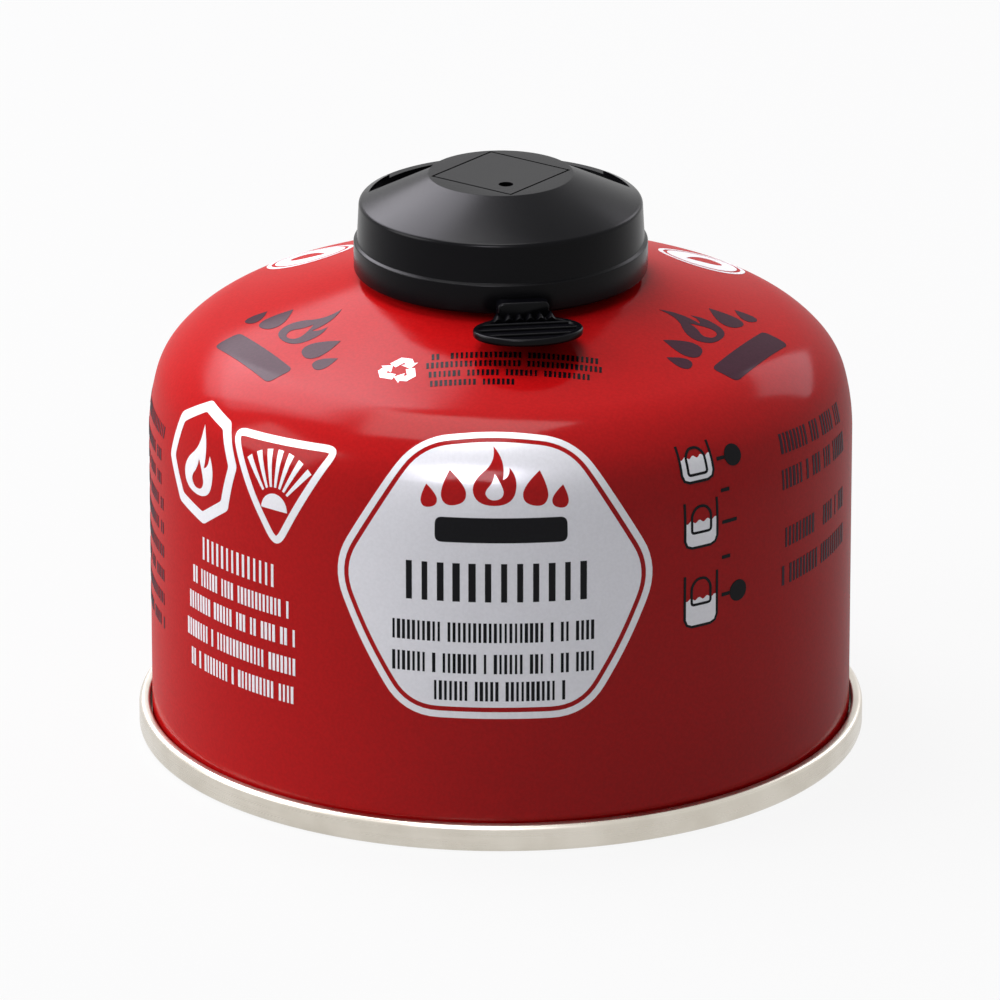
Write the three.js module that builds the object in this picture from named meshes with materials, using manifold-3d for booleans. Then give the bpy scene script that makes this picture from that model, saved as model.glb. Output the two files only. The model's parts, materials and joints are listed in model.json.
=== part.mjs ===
// A squat gas cartridge for camping stoves, with a threaded valve under a push-fit plastic cap.
// Millimetres, +Z up. The origin is the centre of the circle on which the base seam stands.
import * as THREE from "three";
import { mergeVertices } from "three/addons/utils/BufferGeometryUtils.js";
import Module from "manifold-3d";

// Clearance between touching pieces, and the smaller gap of a snap or a sliding fit
const fitGap = 0.3;
const snapGap = 0.2;

// How far a cut reaches past a face, and how far joined shapes sink into each other
const cutReach = 1;
const joinOverlap = 0.1;

// Drawn steel shell: straight wall, three blended shoulder arcs and a shallow cone up to the neck
const wallRadius = 43.35;
const wallTop = 38.8;
const shoulderArcs = [
  { radius: 25.4, endAngle: 15, steps: 3 },
  { radius: 8.4, endAngle: 40, steps: 3 },
  { radius: 14.2, endAngle: 72, steps: 4 },
];
const hemWidth = 0.55;
const neckBeadCentreRadius = 14.15;
const neckBeadRadius = 1.4;
const neckBeadRise = 0.9;
const neckBeadStartAngle = -35;

// Base end: a concave pressed panel whose edge is rolled round the wall into a double seam
const seamHookWidth = 1.35;
const seamHeight = 3.4;
const seamEdgeRound = 0.55;
const footThickness = 0.9;
const endSheet = 0.5;
const panelEdgeHeight = 3.6;
const panelEdgeRound = 0.7;
const panelRise = 7;

// Valve cup: tinplate crimped over the neck bead, with a floor and a hollow threaded pedestal
const cupSheet = 0.45;
const cupDepth = 6.65;
const cupCurlEndAngle = -25;
const pedestalRadius = 5.56;
const pedestalHeight = 9.5;
const pedestalMouthRadius = 2.2;
const cupFloorRound = 0.9;

// Valve inside the pedestal: rubber washer, plastic housing, coil spring and plunger stem
const gasketThickness = 1.2;
const gasketHoleGap = 0.15;
const housingPlay = 0.41;
const housingBoreRadius = 3.3;
const housingLength = 10.8;
const housingFloor = 1.2;
const inletRadius = 0.9;
const inletNippleRadius = 2.6;
const inletNippleLength = 1.1;
const stemRadius = 1.35;
const stemRecess = 0.8;
const stemBoreRadius = 0.5;
const stemBoreDepth = 1.4;
const stemHeadRadius = 2.9;
const stemHeadThickness = 1.5;
const stemTailLength = 2.4;
const springRadius = 2.2;
const springWireRadius = 0.26;
const springTurns = 6;

// Snap cap: lower rim, tapered skirt, cone and flat top disc
const capOverlap = 3.23;
const capRimWall = 1.2;
const capRimHeight = 3.6;
const capRimRound = 0.35;
const capLedgeWidth = 0.4;
const capLedgeHeight = 0.2;
const capSkirtTaper = 0.25;
const capSkirtHeight = 4.76;
const capEdgeRound = 0.6;
const capConeHeight = 3.53;
const capDiscRadius = 8.89;
const capWall = 1.25;
const capTopWall = 1.4;
const snapBeadDepth = 0.35;
const snapBeadHeight = 0.7;
const capTurn = 8.2;

// Lugs inside the cap that rest on the curl of the valve cup
const seatLugCount = 8;
const seatLugWidth = 1.1;
const seatLugHeight = 1.4;

// Hollow behind the cap's disc, open to the sky, with a straight front wall and a lower back rim
const hollowFrontOffset = 2.8;
const hollowTurn = -5;
const hollowRimWall = 1.1;
const hollowFloorDrop = 2.68;
const hollowFloor = 1.2;
const rimNotchHalfAngle = 54;

// Square engraved in the disc, and the vent hole in front of its centre
const engravingHalfDiagonal = 8.62;
const engravingWidth = 0.34;
const engravingDepth = 0.35;
const ventRadius = 0.9;
const ventOffset = 4.4;

// Pull tab: a lug on the rim, an oval plate with a raised border, grip ribs and a row of teeth
const tabHalfWidth = 6.7;
const tabHalfDepth = 4.5;
const tabThickness = 0.95;
const tabBorderWidth = 0.75;
const tabDishDepth = 0.3;
const tabRibPitch = 1.95;
const tabRibWidth = 0.5;
const tabRibCount = 3;
const lugWidth = 6.3;
const lugRound = 0.7;
const lugDepth = 1.55;
const lugHeight = 2.35;
const lugDrop = 0.37;
const lugPlateOverlap = 1;
const toothCount = 6;
const toothPitch = 1.3;
const toothGap = 0.12;
const toothHeight = 0.85;
const toothLength = 1.3;

// Facets round the large, middle and small turned pieces
const largeFacets = 56;
const middleFacets = 36;
const smallFacets = 24;

const wasm = await Module();
wasm.setup();

const radians = THREE.MathUtils.degToRad;

// A point of a section, as radius and height.
function at(radius, height) {
  return new THREE.Vector2(radius, height);
}

// The points of an arc in a section, with both of its ends, by angles in degrees.
function arc(centre, radius, fromAngle, toAngle, steps) {
  return Array.from({ length: steps + 1 }, (_, i) => {
    const angle = radians(fromAngle + ((toAngle - fromAngle) * i) / steps);
    return at(centre.x + radius * Math.cos(angle), centre.y + radius * Math.sin(angle));
  });
}

// Turns a section that starts and ends on the axis, or closes on itself, about +Z.
function revolve(section, facets) {
  const points = THREE.ShapeUtils.area(section) > 0 ? section : [...section].reverse();
  return new THREE.LatheGeometry(points, facets).rotateX(Math.PI / 2);
}

// A flat outline raised from one height to another.
function prism(outline, bottom, top, curveSegments = 12) {
  const options = { depth: top - bottom, bevelEnabled: false, curveSegments };
  return new THREE.ExtrudeGeometry(outline, options).translate(0, 0, bottom);
}

// A box by its lowest and highest corner.
function block(low, high) {
  const size = high.map((value, i) => value - low[i]);
  const centre = high.map((value, i) => (value + low[i]) / 2);
  return new THREE.BoxGeometry(...size).translate(...centre);
}

// A closed mesh as a solid that can be joined and cut.
function solidOf(geometry) {
  const bare = geometry.clone();
  bare.deleteAttribute("normal");
  bare.deleteAttribute("uv");
  const merged = mergeVertices(bare, 1e-4);
  return new wasm.Manifold(
    new wasm.Mesh({
      numProp: 3,
      vertProperties: merged.attributes.position.array,
      triVerts: new Uint32Array(merged.index.array),
    }),
  );
}

// A joined or cut solid as a three.js geometry.
function geometryOf(solid) {
  const mesh = solid.getMesh();
  const geometry = new THREE.BufferGeometry();
  geometry.setAttribute("position", new THREE.BufferAttribute(new Float32Array(mesh.vertProperties), 3));
  geometry.setIndex(new THREE.BufferAttribute(new Uint32Array(mesh.triVerts), 1));
  geometry.computeVertexNormals();
  return geometry;
}

// The shoulder's outline from the straight wall to the start of the cone, blended arc by arc.
function shoulderOutline() {
  const points = [at(wallRadius, wallTop)];
  let angle = 0;
  for (const { radius, endAngle, steps } of shoulderArcs) {
    const start = points[points.length - 1];
    const turn = radians(angle);
    const centre = at(start.x - radius * Math.cos(turn), start.y - radius * Math.sin(turn));
    points.push(...arc(centre, radius, angle, endAngle, steps).slice(1));
    angle = endAngle;
  }
  return points;
}

const shoulder = shoulderOutline();
const coneStart = shoulder[shoulder.length - 1];
const coneAngle = 90 - shoulderArcs[shoulderArcs.length - 1].endAngle;

// The height of the shell's shallow cone at a radius.
function coneHeightAt(radius) {
  return coneStart.y + (coneStart.x - radius) * Math.tan(radians(coneAngle));
}

// Places that several pieces share
const neckBeadCentre = at(neckBeadCentreRadius, coneHeightAt(neckBeadCentreRadius) + neckBeadRise);
const mouthRadius = neckBeadCentreRadius - neckBeadRadius;
const curlInnerRadius = neckBeadRadius + fitGap;
const curlOuterRadius = curlInnerRadius + cupSheet;
const curlTop = neckBeadCentre.y + curlOuterRadius;
const cupWallRadius = neckBeadCentreRadius - curlInnerRadius;
const cupFloorTop = curlTop - cupDepth;
const cupFloorBottom = cupFloorTop - cupSheet;
const pedestalTop = cupFloorTop + pedestalHeight;
const pedestalBore = pedestalRadius - cupSheet;
const housingRadius = pedestalBore - housingPlay;
const gasketTop = pedestalTop - cupSheet;
const gasketBottom = gasketTop - gasketThickness;
const housingBottom = gasketBottom - housingLength;
const housingFloorTop = housingBottom + housingFloor;
const stemHeadTop = gasketBottom - fitGap;
const stemHeadBottom = stemHeadTop - stemHeadThickness;
const chuckWallRadius = wallRadius - hemWidth - fitGap;
const seamRadius = wallRadius + fitGap + seamHookWidth;
const panelEdgeRadius = chuckWallRadius - endSheet - panelEdgeRound;
const snapRadius = neckBeadCentreRadius + curlOuterRadius + snapGap;
const capRimBoreRadius = snapRadius + snapBeadDepth;
const capRimRadius = capRimBoreRadius + capRimWall;
const capSkirtFootRadius = capRimRadius - capLedgeWidth;
const capSkirtTopRadius = capSkirtFootRadius - capSkirtTaper;
const tabCentreRadius = capRimRadius + lugDepth - lugPlateOverlap + tabHalfDepth;
const capBottom = curlTop - capOverlap;
const capLedge = capBottom + capRimHeight;
const capConeFoot = capLedge + capLedgeHeight + capSkirtHeight;
const capTop = capConeFoot + capConeHeight;

// The underside height of the concave base panel at a radius.
function panelHeightAt(radius) {
  const sphere = (panelEdgeRadius ** 2 + panelRise ** 2) / (2 * panelRise);
  const edgeRise = Math.sqrt(sphere ** 2 - panelEdgeRadius ** 2);
  return panelEdgeHeight + Math.sqrt(sphere ** 2 - radius ** 2) - edgeRise;
}

// Points along the base panel from the axis to its edge, raised by a distance.
function panelOutline(raise, steps = 5) {
  return Array.from({ length: steps + 1 }, (_, i) => {
    const radius = (panelEdgeRadius * i) / steps;
    return at(radius, panelHeightAt(radius) + raise);
  });
}

// The sealed vessel: shell, fuel and gas as one solid, with a well for the valve.
function canisterBody() {
  const panelClearance = endSheet + fitGap;
  const hemInner = wallRadius - hemWidth;
  const hemBottom = footThickness + fitGap;
  const panelCorner = panelEdgeHeight + panelClearance;
  const grooveRadius = neckBeadCentreRadius + neckBeadRadius;
  const wellRadius = housingRadius + 2 * fitGap;
  const section = [
    ...panelOutline(panelClearance),
    at(hemInner, panelCorner),
    at(hemInner, hemBottom),
    at(wallRadius, hemBottom),
    ...shoulder,
    at(grooveRadius, coneHeightAt(grooveRadius)),
    ...arc(neckBeadCentre, neckBeadRadius, neckBeadStartAngle, 180, 6),
    at(mouthRadius, cupFloorBottom - fitGap),
    at(wellRadius, cupFloorBottom - fitGap),
    at(wellRadius, housingBottom - inletNippleLength - fitGap),
    at(0, housingBottom - inletNippleLength - fitGap),
  ];
  return revolve(section, largeFacets);
}

// The base end: concave panel, chuck wall, foot and the outer hook of the double seam.
function baseEnd() {
  const hookInner = wallRadius + fitGap;
  const chuckInner = chuckWallRadius - endSheet;
  const cornerCentre = at(chuckInner - panelEdgeRound, panelEdgeHeight - panelEdgeRound);
  const outerRound = panelEdgeRound + endSheet;
  const section = [
    ...panelOutline(0),
    ...arc(cornerCentre, panelEdgeRound, 60, 0, 2),
    ...arc(at(chuckInner + seamEdgeRound, seamEdgeRound), seamEdgeRound, 180, 270, 2),
    ...arc(at(seamRadius - seamEdgeRound, seamEdgeRound), seamEdgeRound, 270, 360, 2),
    ...arc(at(seamRadius - seamEdgeRound, seamHeight - seamEdgeRound), seamEdgeRound, 0, 90, 3),
    at(hookInner + seamEdgeRound / 2, seamHeight),
    at(hookInner, seamHeight - seamEdgeRound / 2),
    at(hookInner, footThickness),
    at(chuckWallRadius, footThickness),
    ...arc(cornerCentre, outerRound, 0, 60, 2),
    ...panelOutline(endSheet).reverse(),
  ];
  return revolve(section, largeFacets);
}

// The valve cup: curl over the neck bead, wall, floor and hollow pedestal in one drawn sheet.
function valveCup() {
  const round = cupFloorRound;
  const wallInner = cupWallRadius - cupSheet;
  const outerFace = [
    ...arc(neckBeadCentre, curlInnerRadius, cupCurlEndAngle, 180, 8),
    ...arc(at(cupWallRadius - round, cupFloorBottom + round), round, 0, -90, 2),
    ...arc(at(pedestalBore + cupSheet / 2, cupFloorBottom + cupSheet / 2), cupSheet / 2, 270, 180, 1),
    at(pedestalBore, gasketTop),
    at(pedestalMouthRadius, gasketTop),
  ];
  const innerFace = [
    ...arc(neckBeadCentre, curlOuterRadius, cupCurlEndAngle, 180, 8),
    ...arc(at(wallInner - round / 2, cupFloorTop + round / 2), round / 2, 0, -90, 2),
    ...arc(at(pedestalRadius + round / 2, cupFloorTop + round / 2), round / 2, 270, 180, 2),
    at(pedestalRadius, pedestalTop - cupSheet),
    at(pedestalRadius - cupSheet, pedestalTop),
    at(pedestalMouthRadius, pedestalTop),
  ];
  return revolve([...outerFace, ...innerFace.reverse(), outerFace[0].clone()], middleFacets);
}

// The rubber washer that seals the stem and the pedestal.
function valveGasket() {
  const inner = stemRadius + gasketHoleGap;
  const outer = pedestalBore - snapGap;
  const section = [
    at(inner, gasketBottom),
    at(outer, gasketBottom),
    at(outer, gasketTop),
    at(inner, gasketTop),
    at(inner, gasketBottom),
  ];
  return revolve(section, smallFacets);
}

// The plastic housing below the washer, bored for the stem and its spring, with a gas inlet.
function valveHousing() {
  const section = [
    at(inletRadius, housingBottom - inletNippleLength),
    at(inletNippleRadius, housingBottom - inletNippleLength),
    at(inletNippleRadius, housingBottom),
    at(housingRadius, housingBottom),
    at(housingRadius, gasketBottom),
    at(housingBoreRadius, gasketBottom),
    at(housingBoreRadius, housingFloorTop),
    at(inletRadius, housingFloorTop),
    at(inletRadius, housingBottom - inletNippleLength),
  ];
  return revolve(section, smallFacets);
}

// The plunger stem: a bored top for the stove's pin, a sealing head and a tail inside the spring.
function valveStem() {
  const top = pedestalTop - stemRecess;
  const tailRadius = springRadius - springWireRadius - fitGap;
  const section = [
    at(0, stemHeadBottom - stemTailLength),
    at(tailRadius, stemHeadBottom - stemTailLength),
    at(tailRadius, stemHeadBottom),
    at(stemHeadRadius, stemHeadBottom),
    at(stemHeadRadius, stemHeadTop),
    at(stemRadius, stemHeadTop),
    at(stemRadius, top),
    at(stemBoreRadius, top),
    at(stemBoreRadius, top - stemBoreDepth),
    at(0, top - stemBoreDepth),
  ];
  return revolve(section, smallFacets);
}

// The helix along the axis of the valve spring's wire.
class SpringAxis extends THREE.Curve {
  getPoint(t, target = new THREE.Vector3()) {
    const angle = 2 * Math.PI * springTurns * t;
    const low = housingFloorTop + springWireRadius + fitGap / 2;
    const high = stemHeadBottom - springWireRadius - fitGap;
    const height = low + (high - low) * t;
    return target.set(springRadius * Math.cos(angle), springRadius * Math.sin(angle), height);
  }
}

// The coil spring that holds the stem shut.
function valveSpring() {
  const wire = new THREE.Shape().absarc(0, 0, springWireRadius, 0, 2 * Math.PI);
  const options = { steps: springTurns * 12, curveSegments: 3, extrudePath: new SpringAxis() };
  return new THREE.ExtrudeGeometry(wire, options);
}

// The cap's outside without the hollow behind its disc.
function capOutside() {
  const edge = at(capSkirtTopRadius - capEdgeRound, capConeFoot - capEdgeRound);
  const coneTurn = THREE.MathUtils.radToDeg(Math.atan2(capSkirtTopRadius - capDiscRadius, capConeHeight));
  return revolve(
    [
      at(0, capBottom),
      at(capRimRadius - capRimRound, capBottom),
      at(capRimRadius, capBottom + capRimRound),
      at(capRimRadius, capLedge),
      at(capSkirtFootRadius, capLedge + capLedgeHeight),
      ...arc(edge, capEdgeRound, 0, coneTurn, 3),
      at(capDiscRadius, capTop),
      at(0, capTop),
    ],
    largeFacets,
  );
}

// The cap's inside: snap bead, rim bore, skirt bore and the underside of the cone.
function capInside() {
  const skirtBore = capSkirtFootRadius - capWall;
  const skirtBoreTop = capSkirtTopRadius - capWall;
  const conePitch = Math.atan2(capConeHeight, capSkirtTopRadius - capDiscRadius);
  const coneDrop = capTopWall / Math.cos(conePitch);
  return revolve(
    [
      at(0, capBottom - cutReach),
      at(capRimBoreRadius, capBottom - cutReach),
      at(capRimBoreRadius, capBottom),
      at(snapRadius, capBottom + snapBeadHeight / 2),
      at(snapRadius, capBottom + snapBeadHeight),
      at(capRimBoreRadius, capBottom + 2 * snapBeadHeight),
      at(capRimBoreRadius, capLedge - capLedgeHeight),
      at(skirtBore, capLedge + capLedgeHeight),
      at(skirtBoreTop, capConeFoot + capWall * Math.tan(conePitch) - coneDrop),
      at(capDiscRadius, capTop - coneDrop),
      at(capDiscRadius - capTopWall, capTop - capTopWall),
      at(0, capTop - capTopWall),
    ],
    largeFacets,
  );
}

// A crescent behind the disc, from its outer to its inner radius, with a straight front edge.
function crescent(outerRadius, innerRadius, frontOffset) {
  const outerStart = Math.asin(frontOffset / outerRadius);
  const innerStart = Math.asin(frontOffset / innerRadius);
  return new THREE.Shape()
    .absarc(0, 0, outerRadius, outerStart, Math.PI - outerStart, false)
    .absarc(0, 0, innerRadius, Math.PI - innerStart, innerStart, true)
    .closePath();
}

// The hollow itself, or with its walls round it for the inside of the cap to leave them standing.
function capHollow(wall, floorDrop, top) {
  const outer = capSkirtTopRadius - hollowRimWall + wall;
  const outline = crescent(outer, capDiscRadius - wall, hollowFrontOffset - wall);
  return solidOf(prism(outline, capConeFoot - floorDrop, top, largeFacets / 2).rotateZ(radians(hollowTurn)));
}

// The stretch of the rim behind the hollow whose top is cut level with the foot of the cone.
function rimNotch() {
  const from = radians(90 - rimNotchHalfAngle);
  const to = radians(90 + rimNotchHalfAngle);
  const sector = new THREE.Shape()
    .absarc(0, 0, capRimRadius, from, to, false)
    .absarc(0, 0, capSkirtTopRadius - hollowRimWall - fitGap, to, from, true)
    .closePath();
  return solidOf(prism(sector, capConeFoot, capTop, largeFacets / 4).rotateZ(radians(hollowTurn)));
}

// The square outline engraved in the disc, with its corners to the front, back and sides.
function discEngraving() {
  const corners = (half) => [at(half, 0), at(0, half), at(-half, 0), at(0, -half)];
  const outline = new THREE.Shape(corners(engravingHalfDiagonal));
  outline.holes.push(new THREE.Path(corners(engravingHalfDiagonal - engravingWidth * Math.SQRT2).reverse()));
  return solidOf(prism(outline, capTop - engravingDepth, capTop + cutReach));
}

// The vent hole through the top wall.
function ventHole() {
  const length = 2 * (capTopWall + cutReach);
  const hole = new THREE.CylinderGeometry(ventRadius, ventRadius, length, smallFacets).rotateX(Math.PI / 2);
  return solidOf(hole.translate(0, -ventOffset, capTop));
}

// Small lugs round the inside of the skirt that stop the cap on the curl of the valve cup.
function seatLugs() {
  const inner = neckBeadCentreRadius - fitGap;
  const outer = capSkirtFootRadius - capWall / 2;
  const bottom = curlTop + fitGap;
  const lugs = Array.from({ length: seatLugCount }, (_, i) => {
    const lug = block([inner, -seatLugWidth / 2, bottom], [outer, seatLugWidth / 2, bottom + seatLugHeight]);
    return solidOf(lug.rotateZ((2 * Math.PI * (i + 0.5)) / seatLugCount));
  });
  return wasm.Manifold.union(lugs);
}

// An ellipse for the tab, drawn in by a distance all round.
function tabOval(inset) {
  return new THREE.Shape().absellipse(0, 0, tabHalfWidth - inset, tabHalfDepth - inset, 0, 2 * Math.PI);
}

// The oval plate of the tab, dished inside its border, with straight grip ribs across the dish.
function tabPlate() {
  const top = capBottom;
  const dishFloor = top - tabDishDepth;
  const ribFoot = dishFloor - joinOverlap;
  const dish = solidOf(prism(tabOval(tabBorderWidth), dishFloor, top + cutReach));
  const ribs = Array.from({ length: tabRibCount }, (_, i) => {
    const y = (i - (tabRibCount - 1) / 2) * tabRibPitch;
    return solidOf(block([-tabHalfWidth, y - tabRibWidth / 2, ribFoot], [tabHalfWidth, y + tabRibWidth / 2, top]));
  });
  const plate = solidOf(prism(tabOval(0), top - tabThickness, top)).subtract(dish);
  const ribField = solidOf(prism(tabOval(tabBorderWidth / 2), ribFoot, top));
  const grip = wasm.Manifold.union(ribs).intersect(ribField);
  return plate.add(grip).translate([0, -tabCentreRadius, 0]);
}

// The upright lug that carries the tab in front of the rim, with rounded upper corners.
function tabLug() {
  const half = lugWidth / 2;
  const top = lugHeight - lugRound;
  const face = new THREE.Shape()
    .moveTo(-half, -lugDrop)
    .lineTo(half, -lugDrop)
    .absarc(half - lugRound, top - lugDrop, lugRound, 0, Math.PI / 2, false)
    .absarc(lugRound - half, top - lugDrop, lugRound, Math.PI / 2, Math.PI, false)
    .closePath();
  const back = capRimRadius - capWall / 2;
  const options = { depth: lugDepth + capWall / 2, bevelEnabled: false, curveSegments: 3 };
  const solid = new THREE.ExtrudeGeometry(face, options).rotateX(Math.PI / 2);
  return solidOf(solid.translate(0, -back, capBottom));
}

// The row of teeth where the plate meets the lug.
function tabTeeth() {
  const start = capRimRadius + lugDepth - 2 * joinOverlap;
  const half = (toothPitch - toothGap) / 2;
  const outline = new THREE.Shape([at(-half, -joinOverlap), at(half, -joinOverlap), at(0, toothHeight)]);
  const options = { depth: toothLength, bevelEnabled: false };
  const teeth = Array.from({ length: toothCount }, (_, i) => {
    const x = (i - (toothCount - 1) / 2) * toothPitch;
    const tooth = new THREE.ExtrudeGeometry(outline, options).rotateX(Math.PI / 2);
    return solidOf(tooth.translate(x, -start, capBottom));
  });
  return wasm.Manifold.union(teeth);
}

// The snap cap, moulded in one with its pull tab.
function cap() {
  const wall = capWall;
  const hollow = capHollow(0, hollowFloorDrop, capTop + cutReach);
  const keptWalls = capHollow(wall, hollowFloorDrop + hollowFloor, capTop + cutReach);
  const inside = solidOf(capInside()).subtract(keptWalls);
  const shell = solidOf(capOutside()).subtract(inside).subtract(hollow).subtract(rimNotch());
  const dressed = shell.subtract(discEngraving()).subtract(ventHole()).add(seatLugs());
  const whole = wasm.Manifold.union([dressed, tabPlate(), tabLug(), tabTeeth()]);
  return geometryOf(whole.rotate([0, 0, capTurn]));
}

const redEnamel = new THREE.MeshStandardMaterial({ color: 0xb5121b, roughness: 0.32, metalness: 0.1 });
const bareTinplate = new THREE.MeshStandardMaterial({ color: 0xb9b2a2, roughness: 0.38, metalness: 1 });
const cupTinplate = new THREE.MeshStandardMaterial({ color: 0xbfbcb2, roughness: 0.3, metalness: 1 });
const blackPlastic = new THREE.MeshStandardMaterial({ color: 0x1b1b1f, roughness: 0.42, metalness: 0 });
const paleNylon = new THREE.MeshStandardMaterial({ color: 0xd9d6c8, roughness: 0.5, metalness: 0 });
const stemNylon = new THREE.MeshStandardMaterial({ color: 0xe6e3d8, roughness: 0.45, metalness: 0 });
const blackRubber = new THREE.MeshStandardMaterial({ color: 0x202020, roughness: 0.8, metalness: 0 });
const springSteel = new THREE.MeshStandardMaterial({ color: 0x9a9ca0, roughness: 0.3, metalness: 1 });

const cartridge = new THREE.Group();

// Adds one piece to the cartridge under its name.
function addPiece(name, geometry, material) {
  const mesh = new THREE.Mesh(geometry, material);
  mesh.name = name;
  cartridge.add(mesh);
}

addPiece("canister_body", canisterBody(), redEnamel);
addPiece("base_end", baseEnd(), bareTinplate);
addPiece("valve_cup", valveCup(), cupTinplate);
addPiece("valve_gasket", valveGasket(), blackRubber);
addPiece("valve_housing", valveHousing(), paleNylon);
addPiece("valve_spring", valveSpring(), springSteel);
addPiece("valve_stem", valveStem(), stemNylon);
addPiece("cap", cap(), blackPlastic);

export default cartridge;
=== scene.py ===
"""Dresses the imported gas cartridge: printed shell, seamed base, threaded valve and push-fit cap.

Lengths are millimetres until a mesh is made, and metres in Blender. The origin is the centre of
the foot, +Z is up and -Y is the front of the print.
"""

import json
import logging
import math
from collections.abc import Sequence
from dataclasses import dataclass, field
from enum import Enum
from typing import Any

import bmesh
import bpy
from mathutils import Matrix, Vector
from mathutils.geometry import tessellate_polygon

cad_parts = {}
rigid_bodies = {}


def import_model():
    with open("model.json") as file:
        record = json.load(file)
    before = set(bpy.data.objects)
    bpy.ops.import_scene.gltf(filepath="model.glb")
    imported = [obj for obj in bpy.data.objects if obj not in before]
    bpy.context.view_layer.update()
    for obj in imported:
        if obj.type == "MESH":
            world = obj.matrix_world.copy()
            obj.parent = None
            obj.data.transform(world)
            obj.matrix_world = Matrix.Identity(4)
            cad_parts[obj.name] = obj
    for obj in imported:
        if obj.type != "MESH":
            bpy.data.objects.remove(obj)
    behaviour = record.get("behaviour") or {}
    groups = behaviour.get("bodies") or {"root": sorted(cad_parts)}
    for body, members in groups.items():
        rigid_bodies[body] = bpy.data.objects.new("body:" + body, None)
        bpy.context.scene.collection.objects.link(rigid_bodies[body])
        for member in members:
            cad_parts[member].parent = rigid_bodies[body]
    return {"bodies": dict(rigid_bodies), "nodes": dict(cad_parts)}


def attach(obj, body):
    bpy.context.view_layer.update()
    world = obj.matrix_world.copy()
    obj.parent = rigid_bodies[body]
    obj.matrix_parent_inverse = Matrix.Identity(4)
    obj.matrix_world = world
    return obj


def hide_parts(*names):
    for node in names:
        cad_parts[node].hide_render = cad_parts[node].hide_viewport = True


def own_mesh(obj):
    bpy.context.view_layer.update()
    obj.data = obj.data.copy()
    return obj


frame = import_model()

log = logging.getLogger("cartridge")

MM = 0.001
FULL_TURN = 2 * math.pi
ROUND_CREASE = 50.0
HELIX_STEPS = 56
BLOCK_WIDTHS = (0.78, 1.22)
SNAP_ROOM = 0.2

Point = tuple[float, float]
Loop = list[Point]


class Body(Enum):
    """The bodies of the frame that pieces ride on."""

    CANISTER = "canister"
    STEM = "stem"
    CAP = "cap"


# Sections and outlines


def arc(centre: Point, radius: float, start: float, end: float, steps: int) -> Loop:
    """Points of an arc with both of its ends.

    Args:
        centre: Centre of the arc.
        radius: Radius of the arc.
        start: First angle in degrees.
        end: Last angle in degrees.
        steps: Number of stretches.

    Returns:
        The points in order.
    """
    angles = [math.radians(start + (end - start) * i / steps) for i in range(steps + 1)]
    return [(centre[0] + radius * math.cos(a), centre[1] + radius * math.sin(a)) for a in angles]


def filleted(corners: Sequence[tuple[float, float, float]], steps: int = 4) -> Loop:
    """An open section whose inner corners are rounded.

    Args:
        corners: Radius, height and fillet radius of each corner.
        steps: Number of stretches in a fillet.

    Returns:
        The points in order.
    """
    points = [Vector(corner[:2]) for corner in corners]
    section: Loop = [tuple(points[0])]
    for before, here, after, corner in zip(points, points[1:], points[2:], corners[1:]):
        to_before, to_after = (before - here), (after - here)
        opening = to_before.angle(to_after)
        if corner[2] <= 0 or opening > math.pi - 1e-3:
            section.append(tuple(here))
            continue
        reach = corner[2] / math.tan(opening / 2)
        reach = min(reach, 0.49 * to_before.length, 0.49 * to_after.length)
        radius = reach * math.tan(opening / 2)
        first = here + to_before.normalized() * reach
        last = here + to_after.normalized() * reach
        middle = (to_before.normalized() + to_after.normalized()).normalized()
        centre = here + middle * (radius / math.sin(opening / 2))
        swing = (last - centre).angle_signed(first - centre)
        for i in range(steps + 1):
            turned = Matrix.Rotation(swing * i / steps, 2) @ (first - centre)
            section.append(tuple(centre + turned))
    section.append(tuple(points[-1]))
    return section


def curved(start: Point, *stretches: tuple[Point, Point], steps: int = 8) -> Loop:
    """A closed outline of quadratic curves.

    Args:
        start: First point of the outline.
        stretches: Control point and end point of each curve.
        steps: Number of stretches in a curve.

    Returns:
        The points in order, without the first one repeated.
    """
    outline: Loop = [start]
    for control, end in stretches:
        begin = outline[-1]
        for i in range(1, steps + 1):
            t = i / steps
            a, b, c = (1 - t) ** 2, 2 * t * (1 - t), t * t
            outline.append(
                (
                    a * begin[0] + b * control[0] + c * end[0],
                    a * begin[1] + b * control[1] + c * end[1],
                )
            )
    if math.dist(outline[0], outline[-1]) < 1e-6:
        outline.pop()
    return outline


def softened(corners: Sequence[Point], trim: float, bulges: dict[int, float] | None = None) -> Loop:
    """A closed outline with rounded corners and sides that may bulge outwards.

    Args:
        corners: The corners in counterclockwise order.
        trim: How far from its corner a side starts to round.
        bulges: How far the side after a corner swells, by the number of that corner.

    Returns:
        The points in order.
    """
    count = len(corners)
    swells = bulges or {}
    ends = []
    for i, corner in enumerate(corners):
        sides = (Vector(corners[i - 1]) - Vector(corner), Vector(corners[(i + 1) % count]) - Vector(corner))
        ends.append([Vector(corner) + side.normalized() * min(trim, 0.48 * side.length) for side in sides])
    stretches = []
    for i in range(count):
        stretches.append((corners[i], tuple(ends[i][1])))
        leave, reach = ends[i][1], ends[(i + 1) % count][0]
        outward = Vector((reach.y - leave.y, leave.x - reach.x)).normalized()
        control = (leave + reach) / 2 + outward * 2 * swells.get(i, 0.0)
        stretches.append((tuple(control), tuple(reach)))
    return curved(tuple(ends[0][0]), *stretches)


def inset(outline: Loop, distance: float) -> Loop:
    """A counterclockwise outline drawn in by a distance, along its normals."""
    count = len(outline)
    drawn = []
    for i, here in enumerate(outline):
        before, after = Vector(outline[i - 1]), Vector(outline[(i + 1) % count])
        along = (after - before).normalized()
        drawn.append((here[0] - along.y * distance, here[1] + along.x * distance))
    return drawn


def circle(centre: Point, radius: float, steps: int = 40) -> Loop:
    """A counterclockwise circle without its first point repeated."""
    return arc(centre, radius, 0, 360, steps)[:-1]


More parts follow.
